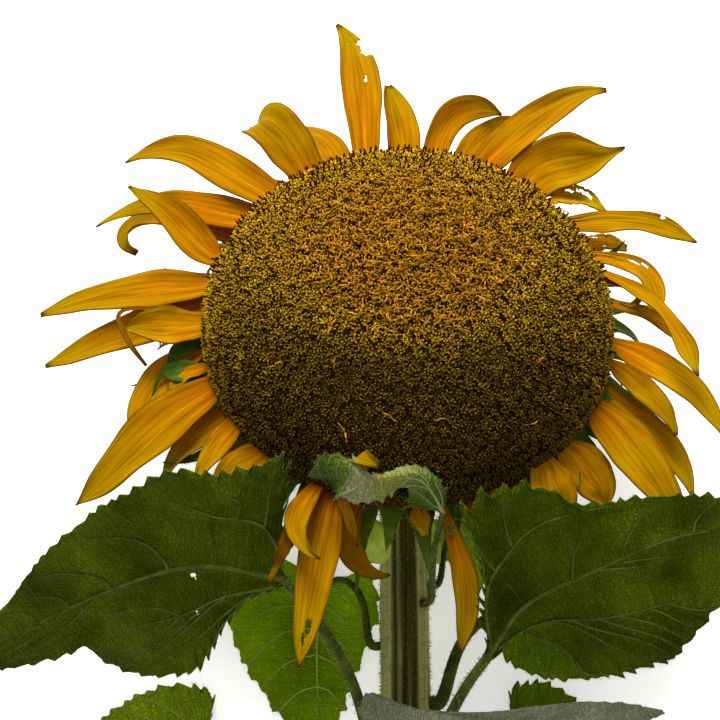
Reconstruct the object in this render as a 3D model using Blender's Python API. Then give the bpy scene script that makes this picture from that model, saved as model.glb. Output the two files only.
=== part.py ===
# A cut sunflower lying on a table.
#
# The stem lies along -Y on the table (z = 0), bends up through the neck and carries the
# head, whose face looks up and leans 15 degrees away, towards +Y.  The shapes are worked
# out round the middle of the disc's rim and moved to the part's own origin at the end.
# Every dimension below is in millimetres, and angles are in degrees.

import math

import bmesh
import bpy
from mathutils import Vector

MM = 0.001                      # Blender's metres in a millimetre
GAP = 0.3                       # clearance between pieces that touch

# The head
DISC_RADIUS = 99.0
DISC_HEIGHT = 50.0
DISC_SQUARENESS = 2.2           # exponent of the dome's rounded outline, 2 is an ellipse
DISC_SEGMENTS = 40
DISC_STEPS = 9                  # steps up the dome
RIM_BULGE = 0.018               # the rim stands out by this share on one side ...
RIM_BULGE_AZIMUTH = 285.0       # ... here, and falls back by as much on the other
HEAD_LEAN = 15.0
RECEPTACLE_RADIUS = 100.0
RECEPTACLE_DEPTH = 40.6
MARGIN_HEIGHT = 12.0            # wall of the receptacle that the petals stand on

# The stem
NECK_RADIUS = 12.2
CUT_RADIUS = 13.5
NECK_BEND_RADIUS = 45.0
CUT_END_Y = -335.0
STEM_SIDES = 16
STEM_STEPS = 8                  # steps along its straight run, and again round the neck

# Ray petals
PETAL_THICKNESS = 0.9
PETAL_SECTIONS = 9
PETAL_CUP = 0.10                # depth of the channel down the middle, as a share of the width

# Leaves
LEAF_THICKNESS = 1.2
RING_POINTS = 10                # points round each section of a petiole or a blade
LEAF_SECTIONS = 13
BLADE_STEPS = 24                # steps along a midrib when it is measured
PETIOLE_SECTIONS = 10
PETIOLE_RADIUS_STEM = 4.2
PETIOLE_RADIUS_BLADE = 2.6

# Bracts
BRACT_COUNT = 26
BRACT_TURN = -4.5               # azimuth of the first bract, which leaves room for a petiole
BRACT_THICKNESS = 1.4
BRACT_LENGTH = 43.0
BRACT_LENGTH_SPREAD = 6.0
BRACT_WIDTH = 13.0
BRACT_ROOT_INSET = 9.0          # how far inside the margin a bract starts
BRACT_ROOT_DROP = 0.6           # and how far under the margin's lower edge
BRACT_DROOP = 14.0              # bend down from the plane of the rim
BRACT_DROOP_SPREAD = 8.0
FAR_BRACT_DROOP = 60.0          # the far bracts are bent down until they stand on the table
FAR_BRACT_SECTOR = 50.0         # and they lie within this of azimuth 90
BRACT_SECTIONS = 5

# Where the rim's middle lies from the origin, which is under the middle of the whole part
ORIGIN = Vector((33.7, 71.0, 0.0))

# One row for each ray petal, anticlockwise from the right: azimuth and tier of its root, length;
# then from root to tip its headings in the rim's plane (0 right, 90 far, 180 left, 270 near),
# its lifts out of that plane and its widths
PETALS = (
    (7, -6, 54, (340, 330, 310, 295), (6, 2, -4), (4, 7, 8, 8, 5, 1)),
    (18, -3, 94, (320, 311, 291, 280, 270), (16, 14, 10), (4, 6, 8, 7, 8, 9, 1)),
    (25, -7, 62, (362, 348, 317, 273, 227), (2, -2, -10), (7, 9, 12, 15, 15, 10, 2)),
    (30, -10, 32, (385, 380, 360, 340), (-2, -12), (9, 12, 13, 12, 5)),
    (37, -3, 73, (0, 0, -10, -28, -44), (10, 6, 2), (10, 12, 15, 15, 14, 10, 1)),
    (48, -7, 47, (42, 32, -4, -38, -35), (8, 2, -6), (8, 12, 16, 16, 10, 1)),
    (54, -5, 70, (53, 42, 5, 10, 32), (14, 10, 4), (15, 24, 30, 33, 32, 22, 8, 1)),
    (68, -3, 95, (53, 45, 38, 28, -5), (14, 10, 6), (13, 18, 22, 22, 18, 13, 4)),
    (73, -9, 60, (72, 64, 48, 27, -20), (14, 10, 2), (11, 13, 15, 16, 13, 9, 1)),
    (81, -5, 68, (82, 74, 54, -4, -50), (18, 14, 6), (11, 13, 15, 17, 16, 11, 1)),
    (89, -9, 59, (90, 95, 104, 108), (18, 16, 8), (13, 16, 19, 21, 21, 16, 5)),
    (101, -3, 103, (92, 93, 95, 102, 130), (14, 10, 4), (10, 15, 19, 22, 21, 14, 1)),
    (109, -8, 54, (103, 108, 120, 150, 195), (10, 2, -14), (14, 17, 20, 20, 19, 14, 4)),
    (118, -4, 67, (118, 122, 130, 140, 140), (18, 16, 6, -120), (16, 21, 26, 29, 30, 24, 3)),
    (124, -9, 36, (144, 148, 158, 162), (-2, -10), (13, 16, 17, 15, 6)),
    (129, -3, 94, (157, 151, 154, 195, 234), (13, 11, 7), (17, 21, 24, 24, 19, 9, 1)),
    (138, -5, 90, (170, 172, 180, 206, 230), (8, 6, 2), (15, 20, 21, 18, 11, 5, 1)),
    (145, -10, 90, (152, 156, 166, 222, 350), (-4, -4, -10), (10, 17, 18, 16, 15, 9, 3)),
    (158, -3, 63, (164, 138, 135, 150, 154), (20, 16, 12), (10, 18, 20, 18, 15, 9, 1)),
    (166, -6, 87, (190, 186, 193, 198, 199), (4, 0, -5), (12, 20, 24, 21, 17, 12, 2)),
    (174, -10, 84, (190, 198, 204, 206, 198), (0, -4, -8), (15, 21, 24, 23, 19, 12, 1)),
    (182, -3, 38, (200, 195, 190, 190), (14, 10), (15, 20, 23, 22, 14, 1)),
    (188, -9, 64, (203, 222, 240, 272, 290), (-6, -12, -18), (10, 15, 18, 19, 17, 13, 1)),
    (196, -5, 24, (198, 205, 230, 252), (-4, -14), (6, 8, 7, 5, 1)),
    (204, -3, 85, (214, 220, 226, 222, 203), (0, -12, -34), (15, 23, 27, 26, 21, 13, 1)),
    (211, -9, 42, (217, 222, 232, 250), (-4, -14), (11, 14, 14, 12, 7, 1)),
    (217, -3, 38, (241, 239, 245, 258), (6, -10), (9, 12, 12, 9, 5, 1)),
    (223, -9, 28, (223, 228, 242, 250), (-8, -20), (7, 10, 10, 8, 5, 1)),
    (229, -3, 32, (206, 214, 232, 238), (-2, -16), (10, 16, 17, 14, 9, 1)),
    (242, -8, 59, (266, 256, 250), (18, 8), (4, 6, 7, 7, 5, 2)),
    (246, -3, 56, (246, 250, 262, 295, 325), (30, 12), (6, 9, 12, 12, 9, 5, 1)),
    (250, -6, 86, (258, 262, 262, 260), (14, 2, -8), (9, 15, 18, 17, 14, 10, 1)),
    (252, -3, 30, (284, 286, 282), (16, -6), (4, 6, 6, 4, 1)),
    (257, -10, 46, (240, 258, 294, 345, 385), (-16, -34), (6, 9, 11, 12, 10, 6, 1)),
    (255, -3, 45, (257, 257, 300, 350), (97, 105, 60, -30), (9, 12, 13, 13, 9, 2)),
    (272, -8, 14, (275, 285, 290), (-4, -20), (5, 9, 10, 6, 1)),
    (278, -6, 68, (287, 288, 284, 263, 250), (-12, -28, -44), (4, 6, 9, 12, 11, 8, 1)),
    (287, -9, 22, (288, 286), (-4, -12), (8, 11, 10, 7, 1)),
    (293, -4, 25, (271, 277), (-2, -14), (8, 11, 11, 8, 1)),
    (298, -9, 32, (272, 285), (16, -10, -28), (9, 14, 15, 12, 1)),
    (307, -3, 32, (278, 288, 300), (18, -22, -56), (10, 18, 20, 20, 14, 1)),
    (315, -6, 35, (313, 311, 306, 296), (6, -24, -56), (12, 20, 22, 21, 14, 1)),
    (329, -3, 68, (306, 305, 302, 297), (6, -12, -30), (12, 20, 24, 23, 20, 14, 1)),
    (337, -9, 66, (318, 316, 311, 296, 276), (-2, -14), (11, 14, 16, 16, 13, 8, 1)),
    (345, -4, 50, (316, 310, 304, 292, 277), (6, 0), (5, 11, 13, 13, 11, 6, 1)),
    (354, -9, 76, (325, 322, 312, 290, 280), (8, 4), (7, 15, 18, 17, 13, 9, 1)),
)

# The outline of an ordinary half blade: how far along the midrib, and how far out from it as a
# share of the half's width.  It starts and ends on the midrib and rounds the basal lobe.
HEART = ((0.0, 0.05), (-0.07, 0.40), (-0.09, 0.75), (0.04, 0.97), (0.20, 1.00), (0.38, 0.93),
         (0.56, 0.74), (0.74, 0.46), (0.90, 0.17), (1.0, 0.01))


def half_blade(width):
    return tuple((along, out * width) for along, out in HEART)


# One entry for each leaf.  stem: place along the stem (y) and round it (0 right, 90 on top,
# 180 left); petiole: points between the stem and the blade; midrib: from the blade's base to
# its tip; left and right: outlines of the two halves, as share of the midrib and distance from
# it; roll: how far the right half is raised, at the base and at the tip; rise: how far each
# half is bent up out of that plane; up: which way the blade faces where that is not upward.
LEAVES = {
    "leaf_left_large": dict(
        stem=(-205, 150), petiole=((-25, -172, 44), (-42, -147, 74)),
        midrib=((-57, -131, 90), (-97, -124, 84), (-142, -131, 60), (-195, -148, 28), (-252, -168, 2)),
        left=((0.0, 3), (0.06, 10), (0.12, 19), (0.18, 30), (0.30, 43), (0.42, 54), (0.50, 53),
              (0.57, 46), (0.62, 34), (0.64, 24), (0.70, 22), (0.78, 16), (0.88, 9), (1.0, 1)),
        right=((0.0, 4), (0.01, 24), (0.01, 44), (0.01, 58), (0.03, 65), (0.10, 55), (0.18, 47),
               (0.24, 49), (0.31, 44), (0.43, 39), (0.58, 29), (0.70, 17), (0.84, 7), (1.0, 1)),
        roll=(44, 34), rise=(2, 2)),
    "leaf_right_large": dict(
        stem=(-200, 40), petiole=((18, -190, 34), (23, -180, 52), (29, -171, 70)),
        midrib=((35, -164, 84), (52, -143, 92), (82, -129, 98), (122, -113, 97), (185, -99, 70)),
        left=((0.0, 4), (0.06, 8), (0.15, 19), (0.22, 30), (0.25, 44), (0.27, 57), (0.32, 59),
              (0.40, 54), (0.47, 45), (0.51, 36), (0.60, 28), (0.72, 21), (0.88, 13), (1.0, 1)),
        right=((0.0, 3), (0.08, 6), (0.15, 13), (0.17, 26), (0.18, 42), (0.26, 52), (0.40, 54),
               (0.52, 57), (0.60, 59), (0.68, 57), (0.76, 50), (0.83, 38), (0.92, 20), (1.0, 1)),
        roll=(-50, -24), rise=(0, 0)),
    "leaf_front_curled": dict(
        stem=(-130, 45), petiole=((12, -126, 45), (11, -121, 76), (11, -117, 98)),
        midrib=((14, -106, 115), (10, -100, 121), (4, -95, 128), (-4, -95, 132), (-13, -98, 134),
                (-21, -99, 136), (-29, -96, 138), (-37, -94, 135), (-45, -93, 127)),
        left=((0.0, 2), (0.06, 8), (0.16, 11), (0.27, 7), (0.38, 5), (0.50, 8), (0.62, 9), (0.74, 8),
              (0.88, 6), (1.0, 1)),
        right=((0.0, 2), (0.08, 5), (0.18, 6), (0.30, 5), (0.42, 4), (0.55, 5), (0.68, 7), (0.80, 6),
               (0.92, 5), (1.0, 1)),
        roll=(0, 0), rise=(4, 4), up=(0, -6, 8)),
    "leaf_left_bright": dict(
        stem=(-150, 180), petiole=((-20, -128, 13), (-30, -116, 13)),
        midrib=((-40, -118, 9), (-44, -140, 4), (-44, -170, 3), (-40, -212, 2)),
        left=half_blade(29), right=half_blade(48), roll=(0, 0), rise=(2, 0)),
    "leaf_left_low": dict(
        stem=(-240, 175), petiole=((-40, -222, 10), (-80, -205, 8)),
        midrib=((-101, -198, 5), (-128, -204, 4), (-158, -216, 3), (-192, -236, 2)),
        left=half_blade(40), right=half_blade(32), roll=(0, 0), rise=(0, 2)),
    "leaf_right_back": dict(
        stem=(-178, 8), petiole=((26, -150, 14), (42, -135, 12)),
        midrib=((62, -130, 8), (82, -138, 5), (108, -147, 3), (138, -154, 2)),
        left=half_blade(22), right=half_blade(30), roll=(0, 0), rise=(2, 0)),
    "leaf_right_low": dict(
        stem=(-245, 5), petiole=((28, -225, 10), (40, -208, 8)),
        midrib=((55, -194, 5), (71, -200, 4), (98, -218, 3), (128, -245, 2)),
        left=half_blade(30), right=half_blade(30), roll=(0, 0), rise=(0, 0)),
    "leaf_front_low": dict(
        stem=(-262, 95), petiole=((-10, -252, 38), (-18, -226, 48)),
        midrib=((-14, -198, 50), (36, -196, 52), (84, -188, 46), (122, -184, 36)),
        left=((0.0, 2), (-0.06, 12), (-0.02, 22), (0.08, 15), (0.25, 11), (0.55, 9), (0.85, 5), (1.0, 1)),
        right=half_blade(40), roll=(-10, -10), rise=(10, 0)),
    "leaf_neck_back": dict(
        stem=(-120, 8), petiole=((20, -104, 14), (24, -92, 12)),
        midrib=((27, -84, 9), (32, -94, 6), (36, -108, 4), (38, -124, 2)),
        left=half_blade(18), right=half_blade(16), roll=(0, 0), rise=(0, 0)),
}

COLOURS = {                     # base colour (linear), roughness
    "petal": ((0.80, 0.36, 0.01), 0.55),
    "leaf": ((0.045, 0.09, 0.015), 0.60),
    "stem": ((0.13, 0.15, 0.05), 0.75),
    "receptacle": ((0.08, 0.13, 0.03), 0.70),
    "disc": ((0.09, 0.07, 0.01), 0.85),
}

# ---------------------------------------------------------------- places and directions

LEAN = math.radians(HEAD_LEAN)
HEAD_RIGHT = Vector((1.0, 0.0, 0.0))
HEAD_FAR = Vector((0.0, math.cos(LEAN), -math.sin(LEAN)))
HEAD_AXIS = Vector((0.0, math.sin(LEAN), math.cos(LEAN)))
NECK_TURN = math.pi / 2 - LEAN
NECK_START_Y = -RECEPTACLE_DEPTH * math.sin(LEAN) - NECK_BEND_RADIUS * math.sin(NECK_TURN)
RIM_HEIGHT = (NECK_RADIUS + NECK_BEND_RADIUS * (1 - math.cos(NECK_TURN))
              + RECEPTACLE_DEPTH * math.cos(LEAN))
RIM_CENTRE = Vector((0.0, 0.0, RIM_HEIGHT))


def rim_factor(azimuth):
    """How far the rim stands out at this azimuth, in radians, as a share of the radius."""
    return 1.0 + RIM_BULGE * math.cos(azimuth - math.radians(RIM_BULGE_AZIMUTH))


def outward(azimuth):
    return math.cos(azimuth) * HEAD_RIGHT + math.sin(azimuth) * HEAD_FAR


def head_point(radius, azimuth, height):
    """A point from its distance to the head's axis, its azimuth and its height over the rim."""
    return RIM_CENTRE + radius * rim_factor(azimuth) * outward(azimuth) + height * HEAD_AXIS


def stem_radius(y):
    share = (y - NECK_START_Y) / (CUT_END_Y - NECK_START_Y)
    return NECK_RADIUS + (CUT_RADIUS - NECK_RADIUS) * max(0.0, share)


def smooth_path(points, count):
    """count + 1 points along a smooth curve through the given points (Catmull-Rom)."""
    points = [Vector(point) for point in points]
    padded = [2 * points[0] - points[1]] + points + [2 * points[-1] - points[-2]]
    spans = len(points) - 1
    path = []
    for step in range(count + 1):
        place = step / count * spans
        span = min(int(place), spans - 1)
        t = place - span
        a, b, c, d = padded[span:span + 4]
        path.append(0.5 * (2 * b + (c - a) * t + (2 * a - 5 * b + 4 * c - d) * t ** 2
                           + (3 * b - a - 3 * c + d) * t ** 3))
    return path


def directions(path):
    """The unit direction of a path at each of its points."""
    last = len(path) - 1
    return [(path[min(i + 1, last)] - path[max(i - 1, 0)]).normalized() for i in range(len(path))]


# ---------------------------------------------------------------- mesh helpers

def material(name):
    if name in bpy.data.materials:
        return bpy.data.materials[name]
    colour, roughness = COLOURS[name]
    made = bpy.data.materials.new(name)
    made.use_nodes = True
    shader = made.node_tree.nodes["Principled BSDF"]
    shader.inputs["Base Color"].default_value = (*colour, 1.0)
    shader.inputs["Roughness"].default_value = roughness
    shader.inputs["Metallic"].default_value = 0.0
    return made


def add_object(name, mesh_builder, material_name):
    """Finish a bmesh built in millimetres as one named object with its faces outward."""
    bmesh.ops.recalc_face_normals(mesh_builder, faces=mesh_builder.faces)
    bmesh.ops.translate(mesh_builder, verts=mesh_builder.verts, vec=ORIGIN)
    bmesh.ops.scale(mesh_builder, verts=mesh_builder.verts, vec=(MM, MM, MM))
    mesh = bpy.data.meshes.new(name)
    mesh_builder.to_mesh(mesh)
    mesh_builder.free()
    mesh.shade_smooth()
    mesh.set_sharp_from_angle(angle=math.radians(50))
    mesh.materials.append(material(material_name))
    made = bpy.data.objects.new(name, mesh)
    bpy.context.collection.objects.link(made)
    return made


def loft(mesh_builder, rings):
    """A closed body through rings that all have the same number of points."""
    loops = [[mesh_builder.verts.new(point) for point in ring] for ring in rings]
    count = len(loops[0])
    for near, far in zip(loops, loops[1:]):
        for i in range(count):
            j = (i + 1) % count
            mesh_builder.faces.new((near[i], near[j], far[j], far[i]))
    mesh_builder.faces.new(loops[0])
    mesh_builder.faces.new(loops[-1])


def turned(mesh_builder, profile, segments):
    """A body of revolution about the head's axis.  profile holds (radius, height) points and
    starts and ends on the axis."""
    rings = []
    for radius, height in profile[1:-1]:
        turns = [2 * math.pi * i / segments for i in range(segments)]
        rings.append([mesh_builder.verts.new(head_point(radius, turn, height)) for turn in turns])
    ends = [mesh_builder.verts.new(head_point(0.0, 0.0, profile[i][1])) for i in (0, -1)]
    for i in range(segments):
        j = (i + 1) % segments
        mesh_builder.faces.new((ends[0], rings[0][i], rings[0][j]))
        mesh_builder.faces.new((ends[1], rings[-1][j], rings[-1][i]))
        for near, far in zip(rings, rings[1:]):
            mesh_builder.faces.new((near[i], near[j], far[j], far[i]))


def strip_ring(centre, side, normal, half_width, thickness, cup):
    """Six points round a thin blade: along its face and back along its underside."""
    middle = centre - normal * cup
    left, right = centre - side * half_width, centre + side * half_width
    down = normal * thickness
    return [left, middle, right, right - down * 0.6, middle - down, left - down * 0.6]


# ---------------------------------------------------------------- stem

def make_stem():
    rings = []
    stations = []
    for step in range(STEM_STEPS):
        y = CUT_END_Y + (NECK_START_Y - CUT_END_Y) * step / STEM_STEPS
        stations.append((Vector((0.0, y, stem_radius(y))), 0.0, stem_radius(y)))
    for step in range(STEM_STEPS + 1):
        turn = NECK_TURN * step / STEM_STEPS
        centre = Vector((0.0, NECK_START_Y + NECK_BEND_RADIUS * math.sin(turn),
                         NECK_RADIUS + NECK_BEND_RADIUS * (1 - math.cos(turn))))
        stations.append((centre, turn, NECK_RADIUS))
    for centre, turn, radius in stations:
        across = Vector((0.0, -math.sin(turn), math.cos(turn)))
        ring = []
        for i in range(STEM_SIDES):
            around = 2 * math.pi * (i + 0.5) / STEM_SIDES
            ring.append(centre + radius * (math.cos(around) * HEAD_RIGHT + math.sin(around) * across))
        rings.append(ring)
    body = bmesh.new()
    loft(body, rings)
    add_object("stem", body, "stem")


# ---------------------------------------------------------------- head

def make_disc():
    profile = [(0.0, GAP)]
    for step in range(DISC_STEPS):
        slope = math.pi / 2 * step / DISC_STEPS
        profile.append((DISC_RADIUS * math.cos(slope) ** (2 / DISC_SQUARENESS),
                        GAP + DISC_HEIGHT * math.sin(slope) ** (2 / DISC_SQUARENESS)))
    profile.append((0.0, GAP + DISC_HEIGHT))
    body = bmesh.new()
    turned(body, profile, DISC_SEGMENTS)
    add_object("disc", body, "disc")


def bract_rings(index):
    azimuth = 2 * math.pi * index / BRACT_COUNT + math.radians(BRACT_TURN)
    out = outward(azimuth)
    side = -math.sin(azimuth) * HEAD_RIGHT + math.cos(azimuth) * HEAD_FAR
    root = head_point(RECEPTACLE_RADIUS - BRACT_ROOT_INSET, azimuth, -MARGIN_HEIGHT - BRACT_ROOT_DROP)
    length = BRACT_LENGTH + BRACT_LENGTH_SPREAD * math.sin(index * 2.4)
    droop = BRACT_DROOP + BRACT_DROOP_SPREAD * math.cos(index * 1.7)
    if abs(math.degrees(azimuth) - 90.0) < FAR_BRACT_SECTOR:
        droop = FAR_BRACT_DROOP
        fall = -(math.cos(math.radians(droop)) * out.z - math.sin(math.radians(droop)) * HEAD_AXIS.z)
        length = (root.z - GAP - BRACT_THICKNESS) / fall
    lower = math.radians(droop)
    along = math.cos(lower) * out - math.sin(lower) * HEAD_AXIS
    normal = math.sin(lower) * out + math.cos(lower) * HEAD_AXIS
    rings = []
    for step in range(BRACT_SECTIONS + 1):
        share = step / BRACT_SECTIONS
        half = BRACT_WIDTH / 2 * max(0.12, (1 - share ** 1.6))
        rings.append(strip_ring(root + along * length * share, side, normal, half, BRACT_THICKNESS, 0.0))
    return rings


def make_receptacle():
    profile = [
        (0.0, -RECEPTACLE_DEPTH + GAP),
        (NECK_RADIUS, -RECEPTACLE_DEPTH + GAP),
        (20.0, -37.0), (45.0, -29.0), (74.0, -21.0), (93.0, -15.0),
        (RECEPTACLE_RADIUS, -MARGIN_HEIGHT), (RECEPTACLE_RADIUS, -1.0),
        (RECEPTACLE_RADIUS - 2.0, 0.0), (0.0, 0.0),
    ]
    body = bmesh.new()
    turned(body, profile, DISC_SEGMENTS)
    receptacle = add_object("receptacle", body, "receptacle")

    cutter_body = bmesh.new()
    for index in range(BRACT_COUNT):
        loft(cutter_body, bract_rings(index))
    bracts = add_object("bract_shapes", cutter_body, "receptacle")
    bracts.hide_render = True
    bracts.display_type = "WIRE"
    union = receptacle.modifiers.new("bracts", "BOOLEAN")
    union.operation = "UNION"
    union.solver = "EXACT"
    union.object = bracts


# ---------------------------------------------------------------- petals

def value_at(values, place):
    # a number from the smooth curve through evenly spaced values
    last = len(values) - 1
    span = min(int(place * last), last - 1)
    t = place * last - span
    b, c = values[span], values[span + 1]
    a = values[span - 1] if span else 2 * b - c
    d = values[span + 2] if span + 2 <= last else 2 * c - b
    return 0.5 * (2 * b + (c - a) * t + (2 * a - 5 * b + 4 * c - d) * t ** 2
                  + (3 * b - a - 3 * c + d) * t ** 3)


def petal_rings(row):
    azimuth, tier, length, headings, lifts, widths = row
    azimuth = math.radians(azimuth)
    along_rim = -math.sin(azimuth) * HEAD_RIGHT + math.cos(azimuth) * HEAD_FAR
    centre = head_point(RECEPTACLE_RADIUS, azimuth, tier) + outward(azimuth) * GAP * 1.5
    side, normal = along_rim, HEAD_AXIS.copy()      # the base stands flat against the receptacle
    rings = []
    for step in range(PETAL_SECTIONS + 1):
        share = step / PETAL_SECTIONS
        half = max(0.8, value_at(widths, share) / 2)
        thickness = PETAL_THICKNESS * (1 - 0.35 * share)
        rings.append(strip_ring(centre, side, normal, half, thickness, PETAL_CUP * half * 2))
        middle = min(1.0, share + 0.5 / PETAL_SECTIONS)
        flat = outward(math.radians(value_at(headings, middle)))
        lift = math.radians(value_at(lifts, middle))
        along = math.cos(lift) * flat + math.sin(lift) * HEAD_AXIS
        normal = math.cos(lift) * HEAD_AXIS - math.sin(lift) * flat
        side = normal.cross(along)
        centre = centre + along * length / PETAL_SECTIONS
    return rings


def make_petals():
    for number, row in enumerate(PETALS, start=1):
        body = bmesh.new()
        loft(body, petal_rings(row))
        add_object(f"ray_petal_{number:02d}", body, "petal")


# ---------------------------------------------------------------- leaves

def leaf_rings(leaf):
    y, around = leaf["stem"]
    around = math.radians(around)
    radial = Vector((math.cos(around), 0.0, math.sin(around)))
    radius = stem_radius(y)
    foot = Vector((0.0, y, radius)) + radial * (radius + 2.0 * GAP)
    stalk_points = [foot, foot + radial * 6.0, *leaf["petiole"], leaf["midrib"][0]]
    stalk = smooth_path(stalk_points, PETIOLE_SECTIONS)[:-1]
    rings = []
    stalk_directions = directions(stalk + [Vector(leaf["midrib"][0])])[:-1]
    stalk_directions[0] = radial
    for i, (centre, along) in enumerate(zip(stalk, stalk_directions)):
        share = i / (len(stalk) - 1)
        thick = PETIOLE_RADIUS_STEM + (PETIOLE_RADIUS_BLADE - PETIOLE_RADIUS_STEM) * share
        side = along.cross(Vector((0.0, 0.0, 1.0)))
        if side.length < 0.3:
            side = Vector((1.0, 0.0, 0.0))
        side.normalize()
        normal = side.cross(along).normalized()
        ring = []
        for k in range(RING_POINTS):
            turn = math.pi - 2 * math.pi * (k + 0.5) / RING_POINTS
            ring.append(centre + thick * (math.cos(turn) * side + math.sin(turn) * normal))
        rings.append(ring)

    return rings + blade_rings(leaf)


def blade_rings(leaf):
    midrib = smooth_path(leaf["midrib"], BLADE_STEPS)
    headings = directions(midrib)
    length = sum((b - a).length for a, b in zip(midrib, midrib[1:]))
    roll_base, roll_tip = leaf["roll"]
    facing = Vector(leaf.get("up", (0, 0, 1)))

    def frame(share):
        """Centre, direction, right-hand side and normal of the blade along its midrib."""
        place = max(0.0, min(1.0, share)) * BLADE_STEPS
        step = min(int(place), BLADE_STEPS - 1)
        centre = midrib[step].lerp(midrib[step + 1], place - step)
        along = headings[step].lerp(headings[step + 1], place - step).normalized()
        across = along.cross(facing).normalized()
        normal = across.cross(along).normalized()
        roll = math.radians(roll_base + (roll_tip - roll_base) * share)
        right = math.cos(roll) * across + math.sin(roll) * normal
        return centre, along, right, right.cross(along).normalized()

    outlines = [smooth_path([(*point, 0.0) for point in leaf[side]], LEAF_SECTIONS)
                for side in ("left", "right")]
    rings = []
    for step in range(LEAF_SECTIONS + 1):
        centre, along, right, normal = frame(step / LEAF_SECTIONS)
        edges = []
        for outline, rise, sign in zip(outlines, leaf["rise"], (-1, 1)):
            share, width = outline[step].x, max(0.8, outline[step].y)
            base, heading, out, up = frame(share)
            bend = math.radians(rise)
            edges.append(base + heading * min(share, 0.0) * length
                         + width * (sign * math.cos(bend) * out + math.sin(bend) * up))
        left_edge, right_edge = edges
        face = [left_edge, left_edge.lerp(centre, 0.5), centre, right_edge.lerp(centre, 0.5), right_edge]
        rings.append(face + [point - normal * LEAF_THICKNESS for point in reversed(face)])
    return rings


def make_leaves():
    for name, leaf in LEAVES.items():
        body = bmesh.new()
        loft(body, leaf_rings(leaf))
        add_object(name, body, "leaf")


for stray in list(bpy.data.objects):
    bpy.data.objects.remove(stray)
make_stem()
make_disc()
make_receptacle()
make_petals()
make_leaves()
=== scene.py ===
# The looks of a cut sunflower that lies on a table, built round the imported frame.
# Shapes are worked out in millimetres round the point on the table under the middle of the
# head's rim; finishPiece moves them to their place in the frame and turns them to metres.

import bisect
import math
import random

import bmesh
import bpy
from mathutils import Matrix, Vector, kdtree, noise


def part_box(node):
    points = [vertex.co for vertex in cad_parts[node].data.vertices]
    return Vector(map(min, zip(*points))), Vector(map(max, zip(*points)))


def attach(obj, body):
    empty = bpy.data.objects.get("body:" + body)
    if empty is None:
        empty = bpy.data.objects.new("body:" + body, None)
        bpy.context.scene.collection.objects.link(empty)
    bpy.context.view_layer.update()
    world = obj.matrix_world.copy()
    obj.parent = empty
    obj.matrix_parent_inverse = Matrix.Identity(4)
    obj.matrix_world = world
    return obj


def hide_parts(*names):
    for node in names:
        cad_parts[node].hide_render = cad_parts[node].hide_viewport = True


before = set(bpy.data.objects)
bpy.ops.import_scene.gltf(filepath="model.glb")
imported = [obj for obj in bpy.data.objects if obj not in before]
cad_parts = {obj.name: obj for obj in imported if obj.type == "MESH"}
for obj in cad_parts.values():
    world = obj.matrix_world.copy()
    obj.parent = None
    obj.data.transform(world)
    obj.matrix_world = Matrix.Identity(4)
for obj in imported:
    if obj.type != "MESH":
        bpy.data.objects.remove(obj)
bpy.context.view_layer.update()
print("frame loaded")

mm = 0.001
stemBox = [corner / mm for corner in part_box("stem")]

# places: the same driving sizes as the frame's

stem = dict(
    neckRadius=12.2, cutRadius=13.5, bendRadius=45.0, cutEnd=-335.0,
    sides=56, rows=90, ridges=11, ridgeDepth=0.55, knots=0.5)
head = dict(
    lean=15.0, rimRadius=99.0, domeHeight=50.0, squareness=2.2,
    bulge=0.018, bulgeAzimuth=285.0, receptacleRadius=100.0, receptacleDepth=40.6, gap=0.3)

shift = Vector(((stemBox[0].x + stemBox[1].x) / 2, stemBox[0].y - stem["cutEnd"], 0.0))
lean = math.radians(head["lean"])
headRight = Vector((1.0, 0.0, 0.0))
headFar = Vector((0.0, math.cos(lean), -math.sin(lean)))
headAxis = Vector((0.0, math.sin(lean), math.cos(lean)))
neckTurn = math.pi / 2 - lean
neckStart = -head["receptacleDepth"] * math.sin(lean) - stem["bendRadius"] * math.sin(neckTurn)
rimCentre = Vector((0.0, 0.0, stem["neckRadius"] + stem["bendRadius"] * (1 - math.cos(neckTurn))
                    + head["receptacleDepth"] * math.cos(lean)))


def outward(azimuth):
    return math.cos(azimuth) * headRight + math.sin(azimuth) * headFar


def alongRim(azimuth):
    return -math.sin(azimuth) * headRight + math.cos(azimuth) * headFar


def headPoint(radius, azimuth, height):
    stretch = 1.0 + head["bulge"] * math.cos(azimuth - math.radians(head["bulgeAzimuth"]))
    return rimCentre + radius * stretch * outward(azimuth) + height * headAxis


def smoothStep(low, high, value):
    share = max(0.0, min(1.0, (value - low) / (high - low)))
    return share * share * (3 - 2 * share)


def onPath(points, place):
    # a point on the smooth curve through the points, place from 0 to 1
    last = len(points) - 1
    span = min(int(place * last), last - 1)
    t = place * last - span
    b, c = points[span], points[span + 1]
    a = points[span - 1] if span else 2 * b - c
    d = points[span + 2] if span + 2 <= last else 2 * c - b
    return 0.5 * (2 * b + (c - a) * t + (2 * a - 5 * b + 4 * c - d) * t ** 2
                  + (3 * b - a - 3 * c + d) * t ** 3)


def directions(path):
    last = len(path) - 1
    return [(path[min(i + 1, last)] - path[max(i - 1, 0)]).normalized() for i in range(len(path))]


# mesh and material helpers

anyTurn = 6.28                          # the range of a random turn


def newShape():
    shape = bmesh.new()
    shape.loops.layers.uv.new("UVMap")
    return shape


def meshOf(name, shape):
    # the shape as a mesh; the shape itself is used up
    mesh = bpy.data.meshes.new(name)
    shape.to_mesh(mesh)
    shape.free()
    return mesh


def swayed(way, amount, rng):
    # the direction, turned a little at random
    return (way + amount * Vector([rng.uniform(-1, 1) for _ in range(3)])).normalized()


def standing(foot, way):
    # puts what points up at foot, pointing along way
    return Matrix.Translation(foot) @ way.to_track_quat("Z", "Y").to_matrix().to_4x4()


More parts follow.
